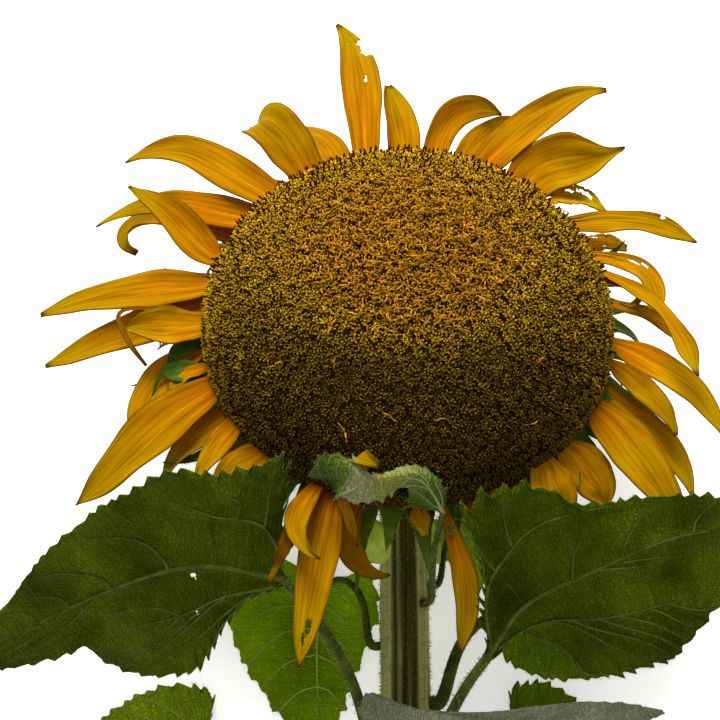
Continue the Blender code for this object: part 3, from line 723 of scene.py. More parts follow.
def standWall(shape, kinds, rng):
    # the outermost florets stand round the wall under the rim, among the petals' roots
    count = round(math.tau * head["rimRadius"] / disc["wallSpacing"])
    for row in range(disc["wallRows"]):
        for spot in range(count):
            azimuth = math.tau * (spot + 0.5 * (row % 2)) / count
            foot = headPoint(head["rimRadius"] - disc["wallInset"], azimuth,
                             disc["wallTop"] - disc["wallStep"] * row)
            rise = disc["wallLift"] - disc["wallDroop"] * row
            stand = swayed(outward(azimuth) + rise * headAxis, disc["wallSway"], rng)
            place = standing(foot, stand) @ Matrix.Rotation(rng.uniform(0, anyTurn), 4, "Z")
            place = place @ Matrix.Scale(disc["size"], 4)
            kind = rng.choice(kinds)
            near = 0.5 - 0.5 * math.sin(azimuth)
            # painted shade: the wall's florets on the stem side are darkened
            scatter(shape, kind, place, rng.uniform(-0.1, 0.1) - 0.9 * near ** 2)


def makeFlorets():
    rng = random.Random(disc["seed"])
    slopes, areas = slopeTable(disc["slopeSteps"])
    variants = range(disc["variants"])
    corollas = [meshTemplate(corollaShape(rng, *floret["openLobes"]), floret["openTone"])
                for _ in variants]
    buds = [meshTemplate(corollaShape(rng, *floret["budLobes"]), floret["budTone"])
            for _ in variants]
    stigmas = [meshTemplate(stigmaShape(rng), floret["stigmaTone"]) for _ in variants]
    anther = meshTemplate(antherShape(), floret["antherTone"])
    bands = ("floretsInner", "floretsMiddle", "floretsOuter")
    others = ("floretsWall", "floretStigmas", "floretAnthers")
    shapes = {name: bmesh.new() for name in bands + others}
    goldenAngle = math.pi * (3 - math.sqrt(5))
    for index in range(disc["count"]):
        share = (index + 0.5) / disc["count"]
        row = bisect.bisect_left(areas, share)
        slope = slopes[row - 1] + (slopes[row] - slopes[row - 1]) * (
            (share - areas[row - 1]) / (areas[row] - areas[row - 1]))
        azimuth = (index * goldenAngle) % math.tau
        reach = math.sqrt(share)                        # 0 in the middle, 1 at the rim
        near = 0.5 - 0.5 * math.sin(azimuth)            # 1 on the side of the stem
        stand = (domeNormal(slope, azimuth) + disc["lift"] * headAxis * reach).normalized()
        stand = swayed(stand, disc["sway"], rng)
        sunk = disc["height"] + rng.uniform(-disc["unevenness"], disc["unevenness"])
        foot = domePoint(slope, azimuth, sunk)
        place = standing(foot, stand) @ Matrix.Rotation(rng.uniform(0, anyTurn), 4, "Z")
        place = place @ Matrix.Scale(disc["size"] * rng.uniform(*disc["sizes"]), 4)
        # 1 where the floret is old and orange, below 0 where it is still closed, and lower still on
        # the stem side of the dome as painted shade
        ripe = 0.75 * (1 - smoothStep(0.25, 0.75, reach)) + rng.uniform(-0.1, 0.3)
        # painted shade: the florets on the stem side of the dome are darkened
        ripe -= 1.3 * near ** 2.5 * smoothStep(0.2, 0.6, reach)
        ripe += 0.5 * noise.noise(foot / 9) * (1 - near)
        closed = reach * (0.3 + 0.7 * near) > disc["budReach"] + rng.uniform(-0.1, 0.1)
        kinds = buds if closed else corollas
        scatter(shapes[bands[int(share * 3)]], rng.choice(kinds), place, ripe)
        if rng.random() < disc["bloom"] * smoothStep(0.45, 0.8, reach) * (1 - near) ** 0.6:
            scatter(shapes["floretAnthers"], anther, place, 0.0)
        if rng.random() < disc["curls"] * (1 - smoothStep(0.3, 0.48, reach)) + disc["strayCurls"]:
            kind = rng.choice(stigmas)
            ripe = min(1.0, 0.85 + rng.uniform(-0.2, 0.2))
            scatter(shapes["floretStigmas"], kind, place, ripe)
    standWall(shapes["floretsWall"], buds, rng)
    finishes = dict.fromkeys(shapes, floretFinish("driedCorolla", 0.75))
    finishes["floretStigmas"] = floretFinish("driedStigma", 0.7)
    finishes["floretAnthers"] = antherFinish()
    for name, shape in shapes.items():
        finishPiece(name, shape, [finishes[name]])
    for template in corollas + buds + stigmas + [anther]:
        bpy.data.meshes.remove(template)


makeBed()
makeFlorets()
print("florets made")

# hairs

hair = dict(radius=0.19, tipRadius=0.02, sunk=0.05, sway=0.45, sizes=(0.6, 1.3), colour="#b4b78c")


def hairFinish():
    # stiff pale plant hairs, which catch the light
    made, tree = newMaterial("plantHair")
    surface = addNode(tree, "BsdfPrincipled", {"Base Color": hair["colour"], "Roughness": 0.5})
    endMaterial(tree, surface, hair["colour"], 0.4)
    return made


hairPale = hairFinish()


def hairTemplate():
    # one millimetre long, with its foot just under the skin
    shape = bmesh.new()
    bmesh.ops.create_cone(
        shape, cap_ends=True, segments=3, radius1=hair["radius"], radius2=hair["tipRadius"],
        depth=1.0, matrix=Matrix.Translation((0, 0, 0.5 - hair["sunk"])))
    return meshOf("hair", shape)


hairMesh = hairTemplate()


def growHairs(shape, roots, length, rng):
    # one hair at each root, a (point, direction) pair
    for point, way in roots:
        way = swayed(way, hair["sway"], rng)
        size = length * rng.uniform(*hair["sizes"])
        copy = hairMesh.copy()
        copy.transform(standing(point, way) @ Matrix.Diagonal((1.0, 1.0, size, 1.0)))
        shape.from_mesh(copy)
        bpy.data.meshes.remove(copy)


def ringFrames(path):
    # centre, direction and two crosswise directions at each point, without twist
    frames = []
    side = None
    for point, along in zip(path, directions(path)):
        if side is None:
            side = along.orthogonal().normalized()
        side = (side - along * side.dot(along)).normalized()
        frames.append((point, along, side, along.cross(side)))
    return frames


def tubeRoots(path, radii, count, rng):
    # roots for hairs all over a tube
    frames = ringFrames(path)
    roots = []
    for _ in range(count):
        pick = rng.randrange(1, len(path))
        share, turn = rng.random(), rng.uniform(0, math.tau)
        centre = frames[pick - 1][0].lerp(frames[pick][0], share)
        way = math.cos(turn) * frames[pick][2] + math.sin(turn) * frames[pick][3]
        roots.append((centre + way * radii[pick] * 0.97, way))
    return roots


def layPathTube(shape, path, radii, sides, groove=0.0):
    # a closed tube along the path; groove: depth of a channel along it, as a share of the radius
    frames = ringFrames(path)

    def place(across, along):
        row = round(along * (len(path) - 1))
        centre, _, side, up = frames[row]
        turn = math.tau * across
        radius = radii[row] * (1 - groove * max(0.0, math.cos(turn)) ** 4)
        return centre + radius * (math.cos(turn) * side + math.sin(turn) * up)

    return layTube(shape, sides, len(path) - 1, place)


# receptacle and bracts

bract = dict(
    count=26, turn=-4.5, length=43.0, lengthSpread=6.0, width=15.0, widths=(0.85, 1.1),
    droop=14.0, droopSpread=8.0, farDroop=60.0, farSector=50.0, farRise=2.0,
    rootInset=9.0, rootDrop=0.6, margin=12.0, innerRise=4.0, innerLonger=-12.0,
    hooks=(-0.6, 0.3), sway=0.25, cup=0.16, rib=0.35, edgeWave=0.6, thickness=0.8,
    columns=8, rows=22, hairs=26, hairLength=1.3, grain=6.25,
    colour="#3e500a", light="#647a16", dark="#1c2a06", seed=31)
# the cup's outline between the stem and the rim: radius and height
cup = dict(
    outline=((20, -37), (45, -29), (74, -21), (93, -15)), ribs=34, ribDepth=0.7, lump=1.1,
    sides=200, rows=48, grain=8.33)
downColour = "#b9c48a"                  # the down on every green skin


def greenSkin(name, colour, light, grain, sheen=0.35, through=0.0):
    # a living green skin: mottled, with short down that pales it where it turns away
    made, tree = newMaterial(name)
    place = addNode(tree, "TexCoord").outputs["Object"]
    mottle = addNode(tree, "TexNoise", {
        "Vector": place, "Scale": grainScale(grain), "Detail": 4.0, "Roughness": 0.65})
    colours = addNode(tree, "ValToRGB", {0: mottle}, stops=[(0.32, colour), (0.72, light)])
    bump = addNode(tree, "Bump", {"Strength": 0.4, "Distance": 0.6 * mm, "Height": mottle})
    surface = addNode(tree, "BsdfPrincipled", {
        "Base Color": colours, "Roughness": 0.6, "Normal": bump, "Specular IOR Level": 0.08,
        "Sheen Weight": sheen, "Sheen Roughness": 0.5, "Sheen Tint": downColour})
    endMaterial(tree, surface, colours, through)
    return made


def makeReceptacle():
    # the green cup under the disc, ribbed from the stem to the margin
    rim = head["receptacleRadius"]
    outline = [Vector((radius, height, 0.0)) for radius, height in (
        (stem["neckRadius"], -head["receptacleDepth"]), *cup["outline"],
        (rim - 0.5, -bract["margin"]), (rim - 1.0, -5), (rim - 2.0, -0.5), (rim - 6.0, 0))]

    def place(across, along):
        profile = onPath(outline, along)
        azimuth = math.tau * across
        rib = cup["ribDepth"] * math.sin(cup["ribs"] * azimuth)
        rib = rib * smoothStep(15, 60, profile.x) * smoothStep(-3, -16, profile.y)
        lump = cup["lump"] * noise.noise(outward(azimuth) * 4 + Vector((0, 0, along * 6)))
        return headPoint(profile.x, azimuth, profile.y + rib + lump * (profile.x > 20))

    shape = newShape()
    layTube(shape, cup["sides"], cup["rows"], place)
    bmesh.ops.recalc_face_normals(shape, faces=shape.faces)
    for face in shape.faces:
        height = (face.calc_center_median() - rimCentre).dot(headAxis)
        face.material_index = int(height > -bract["margin"] - 1)    # florets' bed above the margin
    finish = greenSkin("receptacleSkin", bract["dark"], bract["colour"], cup["grain"])
    finishPiece("receptacleCup", shape, [finish, scalyBed], ["receptacle"])


def bractPlace(index, tier, longer):
    # the frame's place and lie of a bract; tier raises it, for the inner row between the others
    azimuth = math.tau * index / bract["count"] + math.radians(bract["turn"])
    out, side = outward(azimuth), alongRim(azimuth)
    root = headPoint(head["receptacleRadius"] - bract["rootInset"], azimuth,
                     -bract["margin"] - bract["rootDrop"] + tier)
    length = bract["length"] + bract["lengthSpread"] * math.sin(index * 2.4) + longer
    droop = bract["droop"] + bract["droopSpread"] * math.cos(index * 1.7)
    if abs(math.degrees(azimuth) - 90.0) < bract["farSector"]:
        # on the far side they reach down to just above the table
        droop = bract["farDroop"]
        fall = math.sin(math.radians(droop)) * headAxis.z - math.cos(math.radians(droop)) * out.z
        length = (root.z - bract["farRise"]) / fall
    return root, out, side, math.radians(droop), length


def makeBracts():
    rng = random.Random(bract["seed"])
    shape = newShape()
    hairs = bmesh.new()
    rows = [(index, 0.0, 0.0) for index in range(bract["count"])]
    rows += [(index + 0.5, bract["innerRise"], bract["innerLonger"])
             for index in range(bract["count"])]
    for index, tier, longer in rows:
        root, out, side, droop, length = bractPlace(index, tier, longer)
        hook = rng.uniform(*bract["hooks"]) if droop < 1.0 else 0.0
        sway = rng.uniform(-bract["sway"], bract["sway"])
        width = bract["width"] * rng.uniform(*bract["widths"])

        def place(across, along):
            t = 2 * across - 1
            bend = droop - hook * along ** 3
            ahead = (out + side * sway * along).normalized()
            way = math.cos(bend) * ahead - math.sin(bend) * headAxis
            up = math.sin(bend) * out + math.cos(bend) * headAxis
            half = width / 2 * (0.75 + 0.25 * math.sin(math.pi * min(1.0, along * 2.2))) * (
                1 - along ** 1.25) + 0.35 * (1 - along)
            rib = bract["rib"] * math.exp(-(t / 0.12) ** 2) * (1 - along)
            curl = bract["cup"] * half * t * t - rib
            wave = bract["edgeWave"] * math.sin(9 * along + index) * t * (1 - along)
            return root + way * length * along + side * t * half + up * (curl + wave)

        layGrid(shape, bract["columns"], bract["rows"], place)
        for _ in range(bract["hairs"]):
            along, edge = rng.uniform(0.15, 0.97), rng.choice((0.0, 1.0))
            point = place(edge, along)
            growHairs(hairs, [(point, side * (2 * edge - 1))], bract["hairLength"], rng)
    finish = greenSkin(
        "bractGreen", bract["colour"], bract["light"], bract["grain"], sheen=0.1, through=0.2)
    finishPiece("bracts", shape, [finish], thickness=bract["thickness"])
    finishPiece("bractHairs", hairs, [hairPale])


makeReceptacle()
makeBracts()
print("receptacle and bracts made")

# stem

# streaks: how many lie round the stem, less than 2 mm apart, and how often they change along it
# the down colour is the pale glint painted on as the down's sheen
stemLook = dict(
    hairs=6000, hairLength=1.8, streaks=(46.0, 5.0, 1.0), relief=0.7,
    dark="#2a2903", light="#545318", down="#b8b468", seed=41)
# the cut end, with its rings from the middle out: place and colour
cut = dict(
    sides=64, rows=16, bevel=0.5, dish=0.5, rough=0.12, relief=0.8, inset=0.55, pores=1.11,
    rings=((0.0, "#e6e3cf"), (0.72, "#dcdab4"), (0.8, "#8d9a4c"), (0.88, "#a9b16a"),
           (1.0, "#5d6b2a")))


def stemPath(rows):
    # centre and radius from the cut end to the receptacle
    bend = stem["bendRadius"] * neckTurn
    straight = neckStart - stem["cutEnd"]
    path, radii = [], []
    for row in range(rows + 1):
        run = (straight + bend) * row / rows
        if run < straight:
            radius = stem["cutRadius"] + (stem["neckRadius"] - stem["cutRadius"]) * run / straight
            path.append(Vector((0.0, stem["cutEnd"] + run, radius)))
        else:
            radius, turn = stem["neckRadius"], (run - straight) / stem["bendRadius"]
            path.append(Vector((0.0, neckStart + stem["bendRadius"] * math.sin(turn),
                                radius + stem["bendRadius"] * (1 - math.cos(turn)))))
        radii.append(radius)
    return path, radii


def stemSkin():
    # green bark: dark olive with lengthwise ridges, and pale where the down's sheen is painted on
    made, tree = newMaterial("stemBark")
    uv = addNode(tree, "UVMap", uv_map="UVMap")
    drawn = addNode(tree, "Mapping", {0: uv, 3: stemLook["streaks"]})
    streaks = addNode(tree, "TexNoise", {"Vector": drawn, "Scale": 1.0, "Detail": 4.0})
    bare = addNode(tree, "ValToRGB", {0: streaks}, stops=[
        (0.38, stemLook["dark"]), (0.64, stemLook["light"])])
    # painted sheen: where the down's pale glint is painted on the bark
    down = addNode(tree, "Attribute", attribute_name="down").outputs["Fac"]
    patchy = addNode(tree, "MapRange", {0: streaks, 1: 0.3, 2: 0.65, 3: 0.45, 4: 1.0})
    share = addNode(tree, "Math", {0: down, 1: patchy}, operation="MULTIPLY")
    colour = addNode(tree, "Mix", {0: share, 6: bare, 7: stemLook["down"]}, data_type="RGBA")
    bump = addNode(tree, "Bump", {
        "Strength": 0.7, "Distance": stemLook["relief"] * mm, "Height": streaks})
    endMaterial(tree, addNode(tree, "BsdfPrincipled", {
        "Base Color": colour, "Roughness": 0.7, "Normal": bump, "Specular IOR Level": 0.1}))
    return made


def makeStem():
    path, radii = stemPath(stem["rows"])
    frames = ringFrames(path)

    def place(across, along):
        row = round(along * stem["rows"])
        centre, _, side, up = frames[row]
        turn = math.tau * across
        ridge = stem["ridgeDepth"] * (abs(math.sin(stem["ridges"] * turn / 2)) - 1)
        knot = stem["knots"] * noise.noise(Vector((math.cos(turn), math.sin(turn), along * 14)))
        radius = radii[row] + ridge + min(0.0, knot - 0.1)
        return centre + radius * (math.cos(turn) * side + math.sin(turn) * up)

    shape = newShape()
    layTube(shape, stem["sides"] * 2, stem["rows"], place)
    bmesh.ops.recalc_face_normals(shape, faces=shape.faces)
    # painted sheen: the down's pale glint is painted on the sides and beneath, not along the top
    shape.normal_update()
    setLayer(shape, "down", lambda vert: max(
        smoothStep(0.2, 0.7, abs(vert.normal.x)), smoothStep(0.0, 0.5, -vert.normal.z)))
    finishPiece("stemBark", shape, [stemSkin()], ["stem"])

    rng = random.Random(stemLook["seed"])
    hairs = bmesh.new()
    growHairs(hairs, tubeRoots(path, radii, stemLook["hairs"], rng), stemLook["hairLength"], rng)
    keepAbove(hairs, 0.0)
    finishPiece("stemHairs", hairs, [hairPale])


def cutPith():
    # white spongy pith in a ring of darker fibres and rind
    made, tree = newMaterial("freshPith")
    uv = addNode(tree, "UVMap", uv_map="UVMap")
    radial = addNode(tree, "SeparateXYZ", {0: uv}).outputs[1]
    rings = addNode(tree, "ValToRGB", {0: radial}, stops=cut["rings"])
    place = addNode(tree, "TexCoord").outputs["Object"]
    spongy = addNode(tree, "TexNoise", {
        "Vector": place, "Scale": grainScale(cut["pores"]), "Detail": 2.0})
    bump = addNode(tree, "Bump", {"Strength": 0.6, "Distance": 0.4 * mm, "Height": spongy})
    endMaterial(tree, addNode(tree, "BsdfPrincipled", {
        "Base Color": rings, "Roughness": 0.8, "Normal": bump}))
    return made


def makeStemCut():
    # the cut end, slightly dished
    centre = Vector((0.0, stem["cutEnd"], stem["cutRadius"]))

    def place(across, along):
        turn = math.tau * across
        radius = along * (stem["cutRadius"] - cut["bevel"])
        rough = cut["rough"] * noise.noise(Vector((radius, turn * 3, 0.0)))
        depth = (cut["dish"] * (1 - along ** 2) + rough) * cut["relief"] - cut["inset"]
        return centre + Vector((radius * math.cos(turn), depth, radius * math.sin(turn)))

    shape = newShape()
    layTube(shape, cut["sides"], cut["rows"], place)
    bmesh.ops.recalc_face_normals(shape, faces=shape.faces)
    finishPiece("stemCut", shape, [cutPith()])


makeStem()
makeStemCut()
print("stem made")

# leaves

leafBuild = dict(
    blades=24, columns=38, rowLength=1.15, thickness=0.7, clearance=1.4, quiltSize=7.0,
    hollow=3.2, paleBeside=2.2, stalk=(4.0, 2.4), stalkRows=40, stalkSides=12, stalkGroove=0.25,
    stalkSmooth=30, stalkOut=7.0, stalkHairs=50, stalkHairLength=1.3, fewestRows=60, mostRows=230,
    midrib=1.35, midribSides=10, ribTip=0.3, ribBase=0.8, vein=0.75, veinSteps=22, veinSides=6,
    edgeHairs=320, edgeHairLength=0.7, sideVeins=5, uvUnit=100.0, stalkGrain=7.69, ribGrain=6.67,
    seed=51)

# the outline of an ordinary half blade: how far along the midrib, and how far out from it as a
# share of the half's width
heart = ((0.0, 0.05), (-0.07, 0.40), (-0.09, 0.75), (0.04, 0.97), (0.20, 1.00), (0.38, 0.93),
         (0.56, 0.74), (0.74, 0.46), (0.90, 0.17), (1.0, 0.01))


def halfBlade(width):
    return tuple((along, out * width) for along, out in heart)


# as in the frame: stem: place along the stem and round it; petiole: points between the stem and
# the blade; midrib: from the blade's base to its tip; left and right: outlines of the halves, as
# share of the midrib and distance from it; roll: how far the blade is turned at its base and tip;
# rise: how far each half is lifted; up: which way the blade faces, where that isn't upwards.
# look: finish; puff: how deep the blade lies between its veins, left and right; quilt: depth of
# its small pillows; wave and curl of the edges; spacing and depth of the teeth, left and right
# where they differ; dips: half, share, distance, radius and depth of a hollow; holes: half, share,
# distance, length; stalk: its radius at the stem and at the blade; ribs: how thick they are.
# veins: for the left and the right half, thickness and then points as in the outline
leaves = {
    "leaf_left_large": dict(
        stem=(-205, 150), petiole=((-25, -172, 44), (-42, -147, 74)),
        midrib=((-57, -131, 90), (-97, -124, 84), (-142, -131, 60), (-195, -148, 28),
                (-252, -168, 2)),
        left=((0.0, 3), (0.06, 10), (0.12, 19), (0.18, 30), (0.30, 43), (0.42, 54), (0.50, 53),
              (0.57, 46), (0.62, 34), (0.64, 24), (0.70, 22), (0.78, 16), (0.88, 9), (1.0, 1)),
        right=((0.0, 4), (0.01, 24), (0.01, 44), (0.01, 58), (0.03, 65), (0.10, 55), (0.18, 47),
               (0.24, 49), (0.31, 44), (0.43, 39), (0.58, 29), (0.70, 17), (0.84, 7), (1.0, 1)),
        roll=(44, 34), rise=(2, 2),
        look=dict(
            finish="dark", puff=(2.0, 1.3), quilt=0.7, wave=1.5, teeth=(8.5, 3.8, 8.0),
            dips=((0, 0.60, 15, 9, 6.0), (0, 0.52, 7, 8, 2.0)),
            holes=((0, 0.27, 6, 2.0), (0, 0.30, 25, 1.4)),
            veins=(((1.0, (0.02, 4), (0.17, 15), (0.36, 24), (0.56, 20)),
                    (0.5, (0.36, 24), (0.43, 15), (0.55, 11)),
                    (0.8, (0.08, 10), (0.22, 29), (0.52, 45)),
                    (0.7, (0.17, 16), (0.38, 32), (0.55, 41)),
                    (0.6, (0.26, 21), (0.44, 33), (0.59, 37)),
                    (0.6, (0.36, 24), (0.48, 32), (0.61, 34)),
                    (0.8, (0.10, 13), (0.19, 33), (0.42, 51)),
                    (0.7, (0.52, 0), (0.65, 9), (0.79, 11)),
                    (0.6, (0.60, 0), (0.72, 6), (0.81, 8)),
                    (0.5, (0.68, 0), (0.76, 3), (0.84, 5)),
                    (0.6, (0.55, 0), (0.60, 10), (0.67, 19))),
                   ((1.0, (0.0, 6), (0.06, 26), (0.20, 30), (0.30, 38)),
                    (0.6, (0.06, 26), (0.05, 41), (0.03, 60)),
                    (0.5, (0.14, 29), (0.13, 39), (0.19, 41)),
                    (0.9, (0.33, 0), (0.35, 11), (0.39, 23), (0.46, 30)),
                    (0.8, (0.49, 0), (0.50, 9), (0.54, 17), (0.59, 22)),
                    (0.6, (0.60, 0), (0.60, 8), (0.65, 14)),
                    (0.5, (0.68, 0), (0.68, 7), (0.73, 12)),
                    (0.3, (0.10, 0), (0.11, 14), (0.10, 26)),
                    (0.3, (0.20, 0), (0.20, 12), (0.22, 24)))))),
    "leaf_right_large": dict(
        stem=(-200, 40), petiole=((18, -190, 34), (23, -180, 52), (29, -171, 70)),
        midrib=((35, -164, 84), (52, -143, 92), (82, -129, 98), (122, -113, 97), (185, -99, 70)),
        left=((0.0, 4), (0.06, 8), (0.15, 19), (0.22, 30), (0.25, 44), (0.27, 57), (0.32, 59),
              (0.40, 54), (0.47, 45), (0.51, 36), (0.60, 28), (0.72, 21), (0.88, 13), (1.0, 1)),
        right=((0.0, 3), (0.08, 6), (0.15, 13), (0.17, 26), (0.18, 42), (0.26, 52), (0.40, 54),
               (0.52, 57), (0.60, 59), (0.68, 57), (0.76, 50), (0.83, 38), (0.92, 20), (1.0, 1)),
        roll=(-50, -24),
        look=dict(
            finish="dark", puff=(1.2, 1.8), quilt=0.6, wave=1.2, teeth=(8.0, 8.0, 4.6),
            dips=((0, 0.24, 8, 9, 3.5), (1, 0.74, 15, 9, 5.0)),
            veins=(((1.0, (0.03, 2), (0.20, 23), (0.29, 28), (0.41, 35), (0.62, 25)),
                    (0.6, (0.20, 23), (0.21, 36), (0.22, 54)),
                    (0.6, (0.25, 25), (0.25, 38), (0.26, 55)),
                    (0.6, (0.33, 32), (0.34, 44), (0.35, 53)),
                    (0.7, (0.43, 0), (0.46, 11), (0.51, 20)),
                    (0.6, (0.59, 0), (0.62, 8), (0.67, 16)),
                    (0.5, (0.78, 0), (0.79, 7), (0.82, 13)),
                    (0.3, (0.24, 0), (0.25, 8), (0.25, 17))),
                   ((0.9, (0.04, 2), (0.15, 9), (0.35, 20), (0.58, 28), (0.73, 30)),
                    (0.5, (0.51, 0), (0.61, 6), (0.68, 10)),
                    (0.5, (0.59, 2), (0.67, 6), (0.77, 10)),
                    (0.7, (0.20, 13), (0.40, 29), (0.54, 52)),
                    (0.7, (0.35, 20), (0.51, 36), (0.64, 56)),
                    (0.6, (0.46, 23), (0.58, 40), (0.70, 54)),
                    (0.6, (0.52, 26), (0.65, 41), (0.75, 51)),
                    (0.5, (0.62, 29), (0.72, 40), (0.79, 45)),
                    (0.5, (0.69, 30), (0.78, 36), (0.83, 37)),
                    (0.6, (0.15, 12), (0.19, 30), (0.22, 48)))))),
    "leaf_front_curled": dict(
        stem=(-130, 45), petiole=((12, -126, 45), (11, -121, 76), (11, -117, 98)),
        midrib=((14, -106, 115), (10, -100, 121), (4, -95, 128), (-4, -95, 132), (-13, -98, 134),
                (-21, -99, 136), (-29, -96, 138), (-37, -94, 135), (-45, -93, 127)),
        left=((0.0, 2), (0.06, 8), (0.16, 11), (0.27, 7), (0.38, 5), (0.50, 8), (0.62, 9),
              (0.74, 9), (0.88, 8), (1.0, 1)),
        right=((0.0, 2), (0.08, 5), (0.18, 6), (0.30, 5), (0.42, 4), (0.55, 5), (0.68, 7),
               (0.80, 8), (0.92, 7), (1.0, 1)),
        rise=(4, 4), up=(0, -6, 8),
        look=dict(finish="curled", stalk=(2.6, 1.5), ribs=0.55, puff=(0.8, 0.8), quilt=0.9,
                  wave=1.2, curl=(-1.5, -3.5), teeth=(5.0, 4.2))),
    "leaf_left_bright": dict(
        stem=(-150, 180), petiole=((-20, -128, 13), (-30, -116, 13)),
        midrib=((-40, -118, 9), (-44, -140, 4), (-44, -170, 3), (-40, -212, 2)),
        left=halfBlade(29), right=halfBlade(48), rise=(2, 0),
        look=dict(finish="bright", stalk=(2.4, 1.6), puff=(0.5, 0.7), quilt=0.5, wave=0.8,
                  teeth=(10.0, 4.6))),
    "leaf_left_low": dict(
        stem=(-240, 175), petiole=((-40, -222, 10), (-80, -205, 8)),
        midrib=((-101, -198, 5), (-128, -204, 4), (-158, -216, 3), (-192, -236, 2)),
        left=halfBlade(40), right=halfBlade(32), rise=(0, 2),
        look=dict(finish="mid", puff=(0.8, 0.8), quilt=0.5, wave=0.8, teeth=(7.5, 4.2))),
    "leaf_right_back": dict(
        stem=(-178, 8), petiole=((26, -150, 14), (42, -135, 12)),
        midrib=((62, -130, 8), (82, -138, 5), (108, -147, 3), (138, -154, 2)),
        left=halfBlade(22), right=halfBlade(30), rise=(2, 0),
        look=dict(finish="mid", puff=(0.8, 0.8), quilt=0.5, wave=0.6, teeth=(7.0, 3.4))),
    "leaf_right_low": dict(
        stem=(-245, 5), petiole=((28, -225, 10), (40, -208, 8)),
        midrib=((55, -194, 5), (71, -200, 4), (98, -218, 3), (128, -245, 2)),
        left=halfBlade(30), right=halfBlade(30),
        look=dict(finish="mid", puff=(0.8, 0.8), quilt=0.5, wave=0.6, teeth=(6.5, 3.4))),
    "leaf_front_low": dict(
        stem=(-262, 95), petiole=((-10, -252, 38), (-18, -226, 48)),
        midrib=((-14, -198, 50), (36, -196, 52), (84, -188, 46), (122, -184, 36)),
        left=((0.0, 2), (-0.06, 12), (-0.02, 22), (0.08, 15), (0.25, 11), (0.55, 9), (0.85, 5),
              (1.0, 1)),
        right=halfBlade(40), roll=(-10, -10), rise=(10, 0),
        look=dict(finish="grey", puff=(0.5, 1.0), quilt=0.5, wave=1.2, teeth=(8.0, 2.4))),
    "leaf_neck_back": dict(
        stem=(-120, 8), petiole=((20, -104, 14), (24, -92, 12)),
        midrib=((27, -84, 9), (32, -94, 6), (36, -108, 4), (38, -124, 2)),
        left=halfBlade(18), right=halfBlade(16),
        look=dict(finish="bright", stalk=(2.0, 1.4), puff=(0.4, 0.4), quilt=0.4, wave=0.4,
                  teeth=(6.0, 1.8))),
}

# blade, its paler patches, ribs, share of light let through; dark is painted shade for leaves
# that lay in shade, and bright is painted light for leaves that light shone through
leafColours = {
    "dark": ("#364202", "#5e710a", "#5a6422", 0.12),
    "mid": ("#6a8208", "#93ae12", "#8a9540", 0.35),
    "bright": ("#98b606", "#bcd814", "#a9b35c", 0.6),
    "grey": ("#767b5a", "#94967a", "#9a9c80", 0.1),
    "curled": ("#8c9340", "#a0a470", "#9aa06c", 0.35),
}
# sizes of the patterns in a blade, in millimetres; the cells are the mesh of its finest veins
tissue = dict(mottle=26.3, clouds=71.4, rungs=4.83, cells=2.17, warp=8.33, relief=1.0)
# along the curled leaf: green face at the ends, downy underside in the middle
curledBands = (
    (0.0, "#6d7a50"), (0.05, "#50680c"), (0.13, "#5c7a0e"), (0.26, "#98a44a"), (0.38, "#a4ac40"),
    (0.46, "#c4bc88"), (0.53, "#b6b680"), (0.57, "#5c7c14"), (0.66, "#34500a"))


def bladeSurface(leaf):
    # lie(share): centre, direction, right hand and normal along the midrib
    # edge(p, half): the outline from base to tip; half is 0 at the left, 1 at the right
    midrib = [Vector(point) for point in leaf["midrib"]]
    path = [onPath(midrib, step / leafBuild["blades"]) for step in range(leafBuild["blades"] + 1)]
    headings = directions(path)
    length = sum((b - a).length for a, b in zip(path, path[1:]))
    facing = Vector(leaf.get("up", (0, 0, 1)))
    outlines = [[Vector((*point, 0.0)) for point in leaf[side]] for side in ("left", "right")]
    rollBase, rollTip = leaf.get("roll", (0, 0))

    def lie(share):
        place = max(0.0, min(1.0, share)) * leafBuild["blades"]
        step = min(int(place), leafBuild["blades"] - 1)
        centre = path[step].lerp(path[step + 1], place - step)
        along = headings[step].lerp(headings[step + 1], place - step).normalized()
        across = along.cross(facing).normalized()
        normal = across.cross(along).normalized()
        roll = math.radians(rollBase + (rollTip - rollBase) * share)
        right = math.cos(roll) * across + math.sin(roll) * normal
        return centre, along, right, right.cross(along).normalized()

    def edge(p, half):
        spot = onPath(outlines[half], p)
        centre, along, right, normal = lie(spot.x)
        bend = math.radians(leaf.get("rise", (0, 0))[half])
        return centre + along * min(spot.x, 0.0) * length + max(0.8, spot.y) * (
            (2 * half - 1) * math.cos(bend) * right + math.sin(bend) * normal)

    return lie, edge, outlines, length


def ordinaryVeins(outline):
    # the side veins of a small leaf: each leaves the midrib and bends on toward the tip
    count = leafBuild["sideVeins"]
    veins = []
    for number in range(count):
        start = 0.8 * (number + 0.1) / count
        reach = start + 0.26 * (1 - start)
        far = next((step / 60 for step in range(61) if onPath(outline, step / 60).x >= reach), 1.0)
        end = onPath(outline, far)
        middle = (start + 0.3 * (end.x - start), 0.5 * end.y)
        veins.append((0.5, (start, 0.0), middle, (end.x, 0.93 * end.y)))
    return veins


def veinTree(veins, length):
    # tells how far a spot of the blade, laid flat, is from the nearest vein
    spots = [Vector((step / 100 * length, 0.0, 0.0)) for step in range(101)]
    for half in (0, 1):
        for _, *points in veins[half]:
            flat = [Vector((s * length, w * (2 * half - 1), 0.0)) for s, w in points]
            spots += [onPath(flat, step / 30) for step in range(31)]
    tree = kdtree.KDTree(len(spots))
    for index, spot in enumerate(spots):
        tree.insert(spot, index)
    tree.balance()
    return tree


def toothMarks(total, spacing, depth, rng):
    # where each tooth starts along the edge, and how far it stands out
    marks, heights = [0.0], []
    while marks[-1] < total:
        marks.append(marks[-1] + spacing * rng.uniform(0.6, 1.35))
        heights.append(depth * rng.uniform(0.5, 1.35))
    return marks, heights


